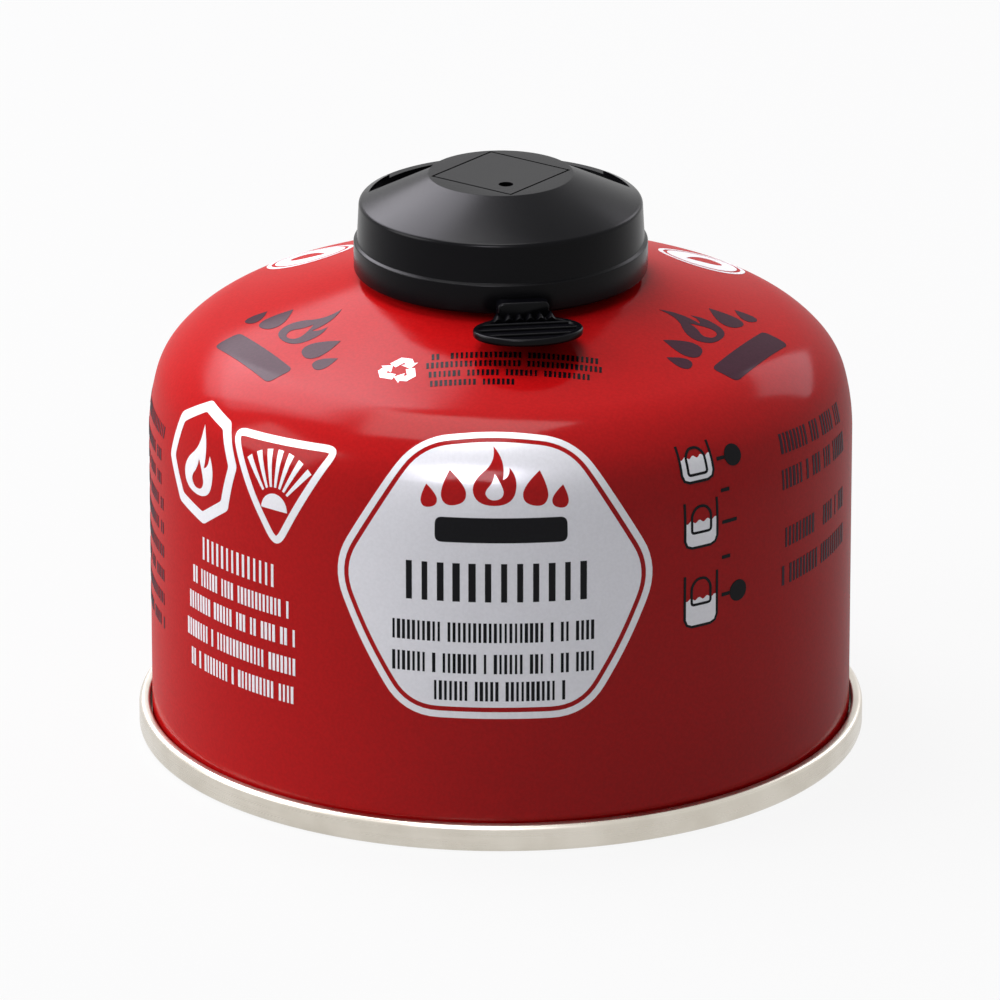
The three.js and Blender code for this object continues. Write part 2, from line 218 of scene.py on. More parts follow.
def ribbon(line: Loop, width: float) -> Loop:
    """The outline of a stroke along an open line."""
    left, right = [], []
    for i, here in enumerate(line):
        before, after = Vector(line[max(i - 1, 0)]), Vector(line[min(i + 1, len(line) - 1)])
        along = (after - before).normalized() * width / 2
        left.append((here[0] - along.y, here[1] + along.x))
        right.append((here[0] + along.y, here[1] - along.x))
    return right + left[::-1]


def moved(outline: Loop, offset: Point, scale: float = 1.0, turn: float = 0.0) -> Loop:
    """An outline scaled, turned by an angle in degrees and then shifted."""
    c, s = math.cos(math.radians(turn)) * scale, math.sin(math.radians(turn)) * scale
    return [(offset[0] + c * x - s * y, offset[1] + s * x + c * y) for x, y in outline]


# Meshes


def linked(name: str, mesh: bpy.types.Mesh) -> bpy.types.Object:
    """A new object in the scene that holds a mesh."""
    mesh.name = name
    piece = bpy.data.objects.new(name, mesh)
    bpy.context.scene.collection.objects.link(piece)
    return piece


def mesh_of(form: bmesh.types.BMesh, name: str) -> bpy.types.Mesh:
    """Writes a form to a new mesh and frees it."""
    mesh = bpy.data.meshes.new(name)
    form.to_mesh(mesh)
    form.free()
    return mesh


def single_point(name: str) -> bpy.types.Mesh:
    """A mesh of one point, for a tree that makes its own geometry."""
    mesh = bpy.data.meshes.new(name)
    mesh.from_pydata([(0.0, 0.0, 0.0)], [], [])
    return mesh


def face_outwards(mesh: bpy.types.Mesh) -> None:
    """Turns a closed mesh the right way out."""
    form = bmesh.new()
    form.from_mesh(mesh)
    bmesh.ops.recalc_face_normals(form, faces=form.faces)
    if form.calc_volume(signed=True) < 0:
        bmesh.ops.reverse_faces(form, faces=form.faces)
    form.to_mesh(mesh)
    form.free()


def smooth(mesh: bpy.types.Mesh, crease: float = 38.0) -> None:
    """Shades a mesh smooth up to a crease angle in degrees."""
    mesh.shade_smooth()
    mesh.set_sharp_from_angle(angle=math.radians(crease))


def lofted(name: str, rings: Sequence[Sequence[tuple[float, float, float]]]) -> bpy.types.Mesh:
    """A closed mesh through rings of equal length.

    Args:
        name: Name of the mesh.
        rings: The points of each ring in millimetres.

    Returns:
        The mesh, with its first and last ring filled.
    """
    form = bmesh.new()
    verts = [[form.verts.new((x * MM, y * MM, z * MM)) for x, y, z in ring] for ring in rings]
    form.faces.new(verts[0][::-1])
    form.faces.new(verts[-1])
    for first, second in zip(verts, verts[1:]):
        for i in range(len(first)):
            j = (i + 1) % len(first)
            form.faces.new([first[i], first[j], second[j], second[i]])
    mesh = mesh_of(form, name)
    face_outwards(mesh)
    return mesh


def finish_piece(
    piece: bpy.types.Object,
    body: Body,
    material: bpy.types.Material,
    replaces: Sequence[str] = (),
) -> bpy.types.Object:
    """Dresses a piece and sets it on its body.

    Args:
        piece: The finished piece.
        body: The body that carries it.
        material: Its finish.
        replaces: The frame's nodes that it stands for.

    Returns:
        The same piece.
    """
    piece.data.materials.clear()
    piece.data.materials.append(material)
    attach(piece, body.value)
    if replaces:
        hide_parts(*replaces)
    log.info("%s: %d faces on %s", piece.name, len(piece.data.polygons), body.value)
    return piece


# Geometry node trees


@dataclass(frozen=True)
class TreeInput:
    """A named input of a tree."""

    name: str
    kind: str


class Tree:
    """A geometry node tree that ends in real geometry with its material."""

    def __init__(self, name: str, inputs: Sequence[TreeInput]) -> None:
        """Makes the tree and its sockets.

        Args:
            name: Name of the tree.
            inputs: Inputs besides the geometry and the material.
        """
        self.group = bpy.data.node_groups.new(name, "GeometryNodeTree")
        sockets = self.group.interface
        sockets.new_socket("Geometry", in_out="INPUT", socket_type="NodeSocketGeometry")
        for item in inputs:
            sockets.new_socket(item.name, in_out="INPUT", socket_type=item.kind)
        sockets.new_socket("Material", in_out="INPUT", socket_type="NodeSocketMaterial")
        sockets.new_socket("Geometry", in_out="OUTPUT", socket_type="NodeSocketGeometry")
        self.source = self.group.nodes.new("NodeGroupInput")

    def __getitem__(self, name: str) -> bpy.types.NodeSocket:
        """The socket of a named input."""
        return self.source.outputs[name]

    def add(self, kind: str, wires: dict[Any, Any], **settings: Any) -> bpy.types.Node:
        """Adds a node.

        Args:
            kind: The node's type.
            wires: A value or a socket for each of its inputs, by name or number.
            settings: The node's own settings.

        Returns:
            The new node.
        """
        node = self.group.nodes.new(kind)
        for name, value in settings.items():
            setattr(node, name, value)
        for key, value in wires.items():
            if isinstance(value, bpy.types.NodeSocket):
                self.group.links.new(value, node.inputs[key])
            else:
                node.inputs[key].default_value = value
        return node

    def sum(self, operation: str, *values: Any) -> bpy.types.NodeSocket:
        """The result of a sum on numbers or sockets."""
        return self.add("ShaderNodeMath", dict(enumerate(values)), operation=operation).outputs[0]

    def vector(self, x: Any = 0.0, y: Any = 0.0, z: Any = 0.0) -> bpy.types.NodeSocket:
        """A vector put together from numbers or sockets."""
        return self.add("ShaderNodeCombineXYZ", {0: x, 1: y, 2: z}).outputs[0]

    def close(self, geometry: bpy.types.NodeSocket) -> None:
        """Ends the tree in real geometry with its material."""
        real = self.add("GeometryNodeRealizeInstances", {0: geometry})
        dressed = self.add(
            "GeometryNodeSetMaterial",
            {"Geometry": real.outputs[0], "Material": self["Material"]},
        )
        sink = self.group.nodes.new("NodeGroupOutput")
        self.group.links.new(dressed.outputs[0], sink.inputs[0])

    def grow(
        self, name: str, seed: bpy.types.Mesh, material: bpy.types.Material, **values: Any
    ) -> bpy.types.Object:
        """Runs the tree on a mesh and keeps its result as a plain mesh.

        Args:
            name: Name of the new piece.
            seed: The mesh that the tree starts from.
            material: The finish of the piece.
            values: The inputs by name, with underscores for spaces.

        Returns:
            The new piece.
        """
        piece = linked(name, seed)
        modifier = piece.modifiers.new(self.group.name, "NODES")
        modifier.node_group = self.group
        given = {key.replace("_", " "): value for key, value in values.items()} | {"Material": material}
        for item in self.group.interface.items_tree:
            if item.item_type == "SOCKET" and item.in_out == "INPUT" and item.name in given:
                modifier[item.identifier] = given[item.name]
        bpy.context.view_layer.update()
        depsgraph = bpy.context.evaluated_depsgraph_get()
        grown = bpy.data.meshes.new_from_object(piece.evaluated_get(depsgraph))
        piece.modifiers.remove(modifier)
        piece.data = grown
        grown.name = name
        bpy.data.meshes.remove(seed)
        return piece


def turning_tree() -> Tree:
    """Turns a section, given as points of radius and height, into a closed piece of revolution."""
    tree = Tree("turned_section", [TreeInput("Facets", "NodeSocketInt")])
    count = tree.add("GeometryNodeAttributeDomainSize", {"Geometry": tree["Geometry"]}, component="MESH")
    around = tree.sum("ADD", tree["Facets"], 1.0)
    grid = tree.add(
        "GeometryNodeMeshGrid",
        {"Vertices X": count.outputs["Point Count"], "Vertices Y": around},
    )
    number = tree.add("GeometryNodeInputIndex", {}).outputs[0]
    along = tree.sum("FLOOR", tree.sum("DIVIDE", tree.sum("ADD", number, 0.5), around))
    step = tree.sum("SUBTRACT", number, tree.sum("MULTIPLY", along, around))
    place = tree.add("GeometryNodeInputPosition", {}).outputs[0]
    sample = tree.add(
        "GeometryNodeSampleIndex",
        {"Geometry": tree["Geometry"], "Value": place, "Index": along},
        data_type="FLOAT_VECTOR",
    )
    angle = tree.sum("MULTIPLY", tree.sum("DIVIDE", step, tree["Facets"]), FULL_TURN)
    turned = tree.add(
        "ShaderNodeVectorRotate",
        {"Vector": sample.outputs[0], "Angle": angle},
        rotation_type="Z_AXIS",
    )
    put = tree.add("GeometryNodeSetPosition", {"Geometry": grid.outputs[0], "Position": turned.outputs[0]})
    merged = tree.add("GeometryNodeMergeByDistance", {"Geometry": put.outputs[0], "Distance": 1e-6})
    tree.close(merged.outputs[0])
    return tree


def row_tree() -> Tree:
    """Repeats a shape along a line, narrowed with distance from the middle as an oval is."""
    inputs = [
        TreeInput("Count", "NodeSocketInt"),
        TreeInput("Step", "NodeSocketVector"),
        TreeInput("Start", "NodeSocketVector"),
        TreeInput("Oval Half Depth", "NodeSocketFloat"),
    ]
    tree = Tree("row_of_copies", inputs)
    line = tree.add(
        "GeometryNodeMeshLine",
        {"Count": tree["Count"], "Start Location": tree["Start"], "Offset": tree["Step"]},
        mode="OFFSET",
    )
    place = tree.add("GeometryNodeInputPosition", {}).outputs[0]
    parts = tree.add("ShaderNodeSeparateXYZ", {0: place})
    ratio = tree.sum("DIVIDE", parts.outputs[1], tree["Oval Half Depth"])
    width = tree.sum("SQRT", tree.sum("SUBTRACT", 1.0, tree.sum("MULTIPLY", ratio, ratio)))
    copies = tree.add(
        "GeometryNodeInstanceOnPoints",
        {"Points": line.outputs[0], "Instance": tree["Geometry"], "Scale": tree.vector(width, 1.0, 1.0)},
    )
    tree.close(copies.outputs[0])
    return tree


def ring_tree() -> Tree:
    """Repeats a shape round +Z."""
    inputs = [
        TreeInput("Count", "NodeSocketInt"),
        TreeInput("First Turn", "NodeSocketFloat"),
    ]
    tree = Tree("ring_of_copies", inputs)
    line = tree.add(
        "GeometryNodeMeshLine",
        {"Count": tree["Count"], "Offset": (0.0, 0.0, 0.0)},
        mode="OFFSET",
    )
    number = tree.add("GeometryNodeInputIndex", {}).outputs[0]
    share = tree.sum("DIVIDE", number, tree["Count"])
    angle = tree.sum("ADD", tree.sum("MULTIPLY", share, FULL_TURN), tree["First Turn"])
    copies = tree.add(
        "GeometryNodeInstanceOnPoints",
        {"Points": line.outputs[0], "Instance": tree["Geometry"], "Rotation": tree.vector(z=angle)},
    )
    tree.close(copies.outputs[0])
    return tree


def helix_tree() -> Tree:
    """Winds a wire, or a ridge of square section on its corner, into a helix with closed ends."""
    inputs = [
        TreeInput("Radius", "NodeSocketFloat"),
        TreeInput("Wire Radius", "NodeSocketFloat"),
        TreeInput("Sides", "NodeSocketInt"),
        TreeInput("Length", "NodeSocketFloat"),
        TreeInput("Turns", "NodeSocketFloat"),
        TreeInput("Bottom", "NodeSocketFloat"),
    ]
    tree = Tree("wound_helix", inputs)
    helix = tree.add(
        "GeometryNodeCurveSpiral",
        {
            "Resolution": HELIX_STEPS,
            "Rotations": tree["Turns"],
            "Start Radius": tree["Radius"],
            "End Radius": tree["Radius"],
            "Height": tree["Length"],
        },
    )
    upright = tree.add("GeometryNodeSetCurveNormal", {"Curve": helix.outputs[0]}, mode="Z_UP")
    section = tree.add(
        "GeometryNodeCurvePrimitiveCircle",
        {"Resolution": tree["Sides"], "Radius": tree["Wire Radius"]},
        mode="RADIUS",
    )
    wound = tree.add(
        "GeometryNodeCurveToMesh",
        {"Curve": upright.outputs[0], "Profile Curve": section.outputs[0], "Fill Caps": True},
    )
    raised = tree.add(
        "GeometryNodeTransform",
        {"Geometry": wound.outputs[0], "Translation": tree.vector(z=tree["Bottom"])},
    )
    tree.close(raised.outputs[0])
    return tree


def block_tree() -> Tree:
    """Sets rows of short upright blocks with random widths and gaps, as plain stand-ins for words."""
    inputs = [
        TreeInput("Across", "NodeSocketInt"),
        TreeInput("Rows", "NodeSocketInt"),
        TreeInput("Cell", "NodeSocketFloat"),
        TreeInput("Row Pitch", "NodeSocketFloat"),
        TreeInput("Height", "NodeSocketFloat"),
        TreeInput("Fill", "NodeSocketFloat"),
        TreeInput("Gap Chance", "NodeSocketFloat"),
        TreeInput("Seed", "NodeSocketInt"),
    ]
    tree = Tree("word_blocks", inputs)
    across = tree.sum("MULTIPLY", tree.sum("SUBTRACT", tree["Across"], 1.0), tree["Cell"])
    down = tree.sum("MULTIPLY", tree.sum("SUBTRACT", tree["Rows"], 1.0), tree["Row Pitch"])
    field_of = tree.add(
        "GeometryNodeMeshGrid",
        {"Size X": across, "Size Y": down, "Vertices X": tree["Across"], "Vertices Y": tree["Rows"]},
    )
    points = tree.add("GeometryNodeMeshToPoints", {"Mesh": field_of.outputs[0]})
    gone = tree.add(
        "FunctionNodeRandomValue",
        {"Probability": tree["Gap Chance"], "Seed": tree["Seed"]},
        data_type="BOOLEAN",
    )
    kept = tree.add(
        "GeometryNodeDeleteGeometry",
        {"Geometry": points.outputs[0], "Selection": gone.outputs[3]},
        domain="POINT",
    )
    width = tree.add(
        "FunctionNodeRandomValue",
        {2: BLOCK_WIDTHS[0], 3: BLOCK_WIDTHS[1], "Seed": tree.sum("ADD", tree["Seed"], 7.0)},
        data_type="FLOAT",
    )
    block = tree.add(
        "GeometryNodeMeshGrid",
        {"Size X": 1.0, "Size Y": 1.0, "Vertices X": 2, "Vertices Y": 2},
    )
    solid = tree.sum("MULTIPLY", tree["Fill"], tree["Cell"])
    size = tree.vector(tree.sum("MULTIPLY", width.outputs[1], solid), tree["Height"], 1.0)
    copies = tree.add(
        "GeometryNodeInstanceOnPoints",
        {"Points": kept.outputs[0], "Instance": block.outputs[0], "Scale": size},
    )
    tree.close(copies.outputs[0])
    return tree


@dataclass
class Trees:
    """The trees that the pieces share."""

    turning: Tree = field(default_factory=turning_tree)
    row: Tree = field(default_factory=row_tree)
    ring: Tree = field(default_factory=ring_tree)
    helix: Tree = field(default_factory=helix_tree)
    blocks: Tree = field(default_factory=block_tree)

    def wind(
        self,
        name: str,
        material: bpy.types.Material,
        radius: float,
        wire: float,
        bottom: float,
        length: float,
        turns: float,
        sides: int,
    ) -> bpy.types.Object:
        """Winds a helix about +Z.

        Args:
            name: Name of the piece.
            material: Its finish.
            radius: Radius of the helix.
            wire: Radius of the wire's section.
            bottom: Height of the first point of the helix.
            length: Height that it climbs.
            turns: Number of turns.
            sides: Number of sides of the wire.

        Returns:
            The new piece.
        """
        piece = self.helix.grow(
            name,
            single_point(name),
            material,
            Radius=radius * MM,
            Wire_Radius=wire * MM,
            Sides=sides,
            Bottom=bottom * MM,
            Length=length * MM,
            Turns=turns,
        )
        face_outwards(piece.data)
        smooth(piece.data, ROUND_CREASE)
        return piece

    def turn(
        self, name: str, section: Loop, material: bpy.types.Material, facets: int = 192, crease: float = 38.0
    ) -> bpy.types.Object:
        """Turns a section about +Z into a piece.

        Args:
            name: Name of the piece.
            section: Radius and height of its points.
            material: Its finish.
            facets: Number of facets round the piece.
            crease: Angle in degrees from which an edge stays sharp.

        Returns:
            The new piece.
        """
        seed = bpy.data.meshes.new(name)
        seed.from_pydata([(r * MM, 0.0, z * MM) for r, z in section], [], [])
        piece = self.turning.grow(name, seed, material, Facets=facets)
        face_outwards(piece.data)
        smooth(piece.data, crease)
        return piece


# Finishes


class Shader:
    """A material under construction, with its main shader at hand."""

    noise_range = (0.3, 0.7)

    def __init__(self, name: str) -> None:
        """Makes a material with a single shader."""
        self.material = bpy.data.materials.new(name)
        self.material.use_nodes = True
        self.nodes = self.material.node_tree.nodes
        self.links = self.material.node_tree.links
        self.main = self.nodes["Principled BSDF"]
        self.place = self.nodes.new("ShaderNodeTexCoord").outputs["Object"]

    def set(self, **values: Any) -> None:
        """Sets constants on the main shader, with underscores for spaces."""
        for name, value in values.items():
            self.main.inputs[name.replace("_", " ")].default_value = value

    def noise(self, scale: float, detail: float, stretch: Sequence[float] | None = None) -> Any:
        """A noise over the piece.

        Args:
            scale: Its scale, in lumps per metre.
            detail: Its octaves.
            stretch: A scale along each axis, for a grain that runs one way.

        Returns:
            The noise's output socket.
        """
        node = self.nodes.new("ShaderNodeTexNoise")
        node.inputs["Scale"].default_value = scale
        node.inputs["Detail"].default_value = detail
        place = self.place
        if stretch:
            mapping = self.nodes.new("ShaderNodeMapping")
            mapping.inputs["Scale"].default_value = stretch
            self.links.new(self.place, mapping.inputs["Vector"])
            place = mapping.outputs[0]
        self.links.new(place, node.inputs["Vector"])
        return node.outputs["Fac"]

    def ramp(
        self, source: Any, low: float, high: float, first: Sequence[float], last: Sequence[float]
    ) -> Any:
        """Maps a value to a colour.

        Args:
            source: The value's socket.
            low: Where the first colour ends.
            high: Where the last colour starts.
            first: The colour of low values.
            last: The colour of high values.

        Returns:
            The colour's socket.
        """
        node = self.nodes.new("ShaderNodeValToRGB")
        node.color_ramp.elements[0].position = low
        node.color_ramp.elements[1].position = high
        node.color_ramp.elements[0].color = (*first, 1.0)
        node.color_ramp.elements[1].color = (*last, 1.0)
        self.links.new(source, node.inputs[0])
        return node.outputs[0]

    def spread(self, source: Any, low: float, high: float) -> Any:
        """Maps the middle of a noise's range to a range of numbers."""
        node = self.nodes.new("ShaderNodeMapRange")
        node.inputs["From Min"].default_value = self.noise_range[0]
        node.inputs["From Max"].default_value = self.noise_range[1]
        node.inputs["To Min"].default_value = low
        node.inputs["To Max"].default_value = high
        self.links.new(source, node.inputs["Value"])
        return node.outputs[0]

    def bump(self, source: Any, strength: float, depth: float) -> None:
        """Raises the surface by a noise, to a depth in millimetres."""
        node = self.nodes.new("ShaderNodeBump")
        node.inputs["Strength"].default_value = strength
        node.inputs["Distance"].default_value = depth * MM
        if self.main.inputs["Normal"].is_linked:
            self.links.new(self.main.inputs["Normal"].links[0].from_socket, node.inputs["Normal"])
        self.links.new(source, node.inputs["Height"])
        self.links.new(node.outputs[0], self.main.inputs["Normal"])

    def wire(self, source: Any, name: str) -> None:
        """Links a socket to an input of the main shader."""
        self.links.new(source, self.main.inputs[name])


def shade(colour: Sequence[float], factor: float) -> tuple[float, ...]:
    """A colour made lighter or darker."""
    return tuple(min(1.0, c * factor) for c in colour)


@dataclass(frozen=True)
class Lacquer:
    """A printed coat on tinplate: one colour with a fine grain and a slight orange peel."""

    name: str
    colour: tuple[float, float, float]
    gloss: float = 0.22
    grain: float = 0.02
    metal: float = 0.0
    roughness: float = 0.3
    coat_roughness: tuple[float, float] = (0.1, 0.17)
    peel_strength: float = 0.08
    peel_depth: float = 0.02

    def build(self) -> bpy.types.Material:
        """Makes the material."""
        shader = Shader(self.name)
        shader.set(
            Metallic=self.metal,
            Specular_IOR_Level=0.0,
            Coat_Weight=self.gloss,
            Roughness=self.roughness,
        )
        speckle = shader.noise(2600.0, 2.0)
        low, high = shade(self.colour, 1 - self.grain), shade(self.colour, 1 + self.grain)
        shader.wire(shader.ramp(speckle, 0.35, 0.65, low, high), "Base Color")
        smears = shader.noise(55.0, 4.0)
        shader.wire(shader.spread(smears, *self.coat_roughness), "Coat Roughness")
        peel = shader.noise(260.0, 0.0)
        shader.bump(peel, self.peel_strength, self.peel_depth)
        shader.wire(shader.main.inputs["Normal"].links[0].from_socket, "Coat Normal")
        return shader.material


@dataclass(frozen=True)
class Tinplate:
    """Bare tinplate with circular rolling marks and faint stains."""

    name: str
    colour: tuple[float, float, float]
    stain: tuple[float, float, float]
    roughness: float

    def build(self) -> bpy.types.Material:
        """Makes the material."""
        shader = Shader(self.name)
        shader.set(Metallic=1.0)
        stains = shader.noise(140.0, 5.0)
        shader.wire(shader.ramp(stains, 0.38, 0.68, self.colour, self.stain), "Base Color")
        marks = shader.noise(60.0, 3.0, (1.0, 1.0, 40.0))
        shader.wire(shader.spread(marks, self.roughness * 0.75, self.roughness * 1.35), "Roughness")
        shader.bump(marks, 0.25, 0.02)
        shader.bump(shader.noise(1500.0, 2.0), 0.15, 0.01)
        return shader.material


@dataclass(frozen=True)
class Moulding:
    """A moulded plastic or rubber with a fine texture from its mould."""

    name: str
    colour: tuple[float, float, float]
    roughness: float
    gloss: float
    texture: float
    glow: float = 0.0
    glow_reach: float = 1.0

    def build(self) -> bpy.types.Material:
        """Makes the material."""
        shader = Shader(self.name)
        shader.set(
            Specular_IOR_Level=self.gloss,
            Subsurface_Weight=self.glow,
            Subsurface_Scale=self.glow_reach * MM,
        )
        clouds = shader.noise(90.0, 4.0)
        low, high = shade(self.colour, 0.85), shade(self.colour, 1.2)
        shader.wire(shader.ramp(clouds, *shader.noise_range, low, high), "Base Color")
        shader.wire(shader.spread(clouds, self.roughness * 0.9, self.roughness * 1.12), "Roughness")
        shader.bump(shader.noise(2200.0, 3.0), self.texture, 0.02)
        return shader.material


@dataclass
class Palette:
    """Every finish on the cartridge."""

    red: bpy.types.Material = field(
        default_factory=Lacquer("red_lacquer", (0.43, 0.0045, 0.0055), grain=0.07).build
    )
    silver: bpy.types.Material = field(
        default_factory=Lacquer("silver_print", (0.78, 0.78, 0.82), gloss=0.3, metal=0.24).build
    )
    white: bpy.types.Material = field(
        default_factory=Lacquer("white_print", (0.86, 0.86, 0.89), gloss=0.3, metal=0.16).build
    )
    black: bpy.types.Material = field(
        default_factory=Lacquer("black_print", (0.004, 0.004, 0.006), grain=0.1).build
    )
    smoke: bpy.types.Material = field(
        default_factory=Lacquer("smoke_print", (0.045, 0.01, 0.022), gloss=0.25, grain=0.08).build
    )
    emblem_red: bpy.types.Material = field(
        default_factory=Lacquer("emblem_red_print", (0.5, 0.006, 0.007), grain=0.06).build
    )
    seam: bpy.types.Material = field(
        default_factory=Tinplate(
            "seam_tinplate", (0.64, 0.6, 0.53), stain=(0.55, 0.51, 0.44), roughness=0.3
        ).build
    )
    cup: bpy.types.Material = field(
        default_factory=Tinplate(
            "cup_tinplate", (0.72, 0.7, 0.66), stain=(0.55, 0.53, 0.48), roughness=0.24
        ).build
    )
    plastic: bpy.types.Material = field(
        default_factory=Moulding(
            "black_plastic", (0.0018, 0.0017, 0.0027), roughness=0.24, gloss=0.09, texture=0.05
        ).build
    )
    nylon: bpy.types.Material = field(
        default_factory=Moulding(
            "pale_nylon", (0.66, 0.63, 0.54), roughness=0.45, gloss=0.4, texture=0.15, glow=0.15
        ).build
    )
    rubber: bpy.types.Material = field(
        default_factory=Moulding(
            "black_rubber", (0.016, 0.016, 0.017), roughness=0.75, gloss=0.3, texture=0.4
        ).build
    )
    wire: bpy.types.Material = field(
        default_factory=Tinplate(
            "spring_wire", (0.5, 0.5, 0.52), stain=(0.4, 0.4, 0.42), roughness=0.25
        ).build
    )


# The steel shell and its print


@dataclass
class Shell:
    """The drawn steel shell: straight wall, blended shoulder, shallow cone and neck bead."""

    wall_radius: float = 43.35
    wall_top: float = 38.8
    shoulder: tuple[tuple[float, float], ...] = ((25.4, 15.0), (8.4, 40.0), (14.2, 72.0))
    hem_width: float = 0.55
    hem_bottom: float = 1.2
    panel_corner: float = 4.4
    panel_rise: float = 7.0
    panel_radius: float = 41.3
    neck_centre: float = 14.15
    neck_bead: float = 1.4
    neck_rise: float = 0.9
    well_radius: float = 5.3
    well_bottom: float = 51.58
    valve_floor: float = 55.18
    cone_points: tuple[float, ...] = (30.0, 26.0, 22.0, 19.0)

    def shoulder_line(self, steps_per_arc: int = 12) -> list[tuple[float, float, float]]:
        """The line of the shoulder.

        Args:
            steps_per_arc: Number of stretches in each blended arc.

        Returns:
            Radius, height and distance along the shell of each point.
        """
        radius, height, angle, run = self.wall_radius, self.wall_top, 0.0, self.wall_top
        line = [(radius, height, run)]
        for bend, end in self.shoulder:
            start = math.radians(angle)
            centre = (radius - bend * math.cos(start), height - bend * math.sin(start))
            stretch = bend * math.radians(end - angle) / steps_per_arc
            for i, (r, z) in enumerate(arc(centre, bend, angle, end, steps_per_arc)[1:], 1):
                line.append((r, z, run + stretch * i))
            radius, height, run = line[-1]
            angle = end
        return line

    @property
    def cone_slope(self) -> float:
        """The slope of the cone as a tangent."""
        return math.tan(math.radians(90 - self.shoulder[-1][1]))

    def cone_height(self, radius: float) -> float:
        """The height of the cone at a radius."""
        start, height, _ = self.shoulder_line()[-1]
        return height + (start - radius) * self.cone_slope

    def neck(self) -> Point:
        """The centre of the rolled bead round the mouth."""
        return self.neck_centre, self.cone_height(self.neck_centre) + self.neck_rise

    def section(self) -> Loop:
        """The closed section of the shell, from the axis below to the axis in the well."""
        inner = self.wall_radius - self.hem_width
        sphere = (self.panel_radius**2 + self.panel_rise**2) / (2 * self.panel_rise)
        edge = math.sqrt(sphere**2 - self.panel_radius**2)
        panel = [
            (r, self.panel_corner + math.sqrt(sphere**2 - r**2) - edge)
            for r in (self.panel_radius * i / 16 for i in range(17))
        ]
        groove = self.neck_centre + self.neck_bead
        mouth = self.neck_centre - self.neck_bead
        return [
            *panel,
            (inner, self.panel_corner),
            (inner, self.hem_bottom),
            (self.wall_radius, self.hem_bottom),
            *((self.wall_radius, self.wall_top * i / 6) for i in range(1, 6)),
            *((r, z) for r, z, _ in self.shoulder_line()),
            *((r, self.cone_height(r)) for r in self.cone_points),
            (groove, self.cone_height(groove)),
            *arc(self.neck(), self.neck_bead, -35, 180, 20),
            (mouth, self.valve_floor),
            (self.well_radius, self.valve_floor),
            (self.well_radius, self.well_bottom),
            (0.0, self.well_bottom),
        ]

    def build(self, trees: Trees, palette: Palette) -> None:
        """Turns the shell and sets it in place of its solid."""
        piece = trees.turn("red_shell", self.section(), palette.red, 256)
        finish_piece(piece, Body.CANISTER, palette.red, ["canister_body"])


class ShellFace:
    """The printed face of the shell, by angle from the front and distance along the metal."""

    def __init__(self, shell: Shell) -> None:
        """Lays out the line that the print is wrapped round."""
        self.line = [(shell.wall_radius, 0.0, 0.0), *shell.shoulder_line(24)]
        reach = (self.line[-1][0] - shell.neck_centre) * math.hypot(1, shell.cone_slope)
        end = (shell.neck_centre, shell.cone_height(shell.neck_centre), self.line[-1][2] + reach)
        self.line.append(end)

    def place(self, angle: float, run: float, lift: float) -> Vector:
        """A point on the face.

        Args:
            angle: Angle from the front in radians, towards +X.
            run: Distance along the metal from the foot.
            lift: Height above the metal.

        Returns:
            The point in millimetres.
        """
        for low, high in zip(self.line, self.line[1:]):
            if run <= high[2]:
                break
        share = (run - low[2]) / (high[2] - low[2])
        radius = low[0] + (high[0] - low[0]) * share
        height = low[1] + (high[1] - low[1]) * share
        along = Vector((high[0] - low[0], high[1] - low[1])).normalized()
        radius += along.y * lift
        height -= along.x * lift
        return Vector((radius * math.sin(angle), -radius * math.cos(angle), height))

    def radius(self, run: float) -> float:
        """The radius of the shell at a distance along the metal."""
        point = self.place(0.0, run, 0.0)
        return -point.y


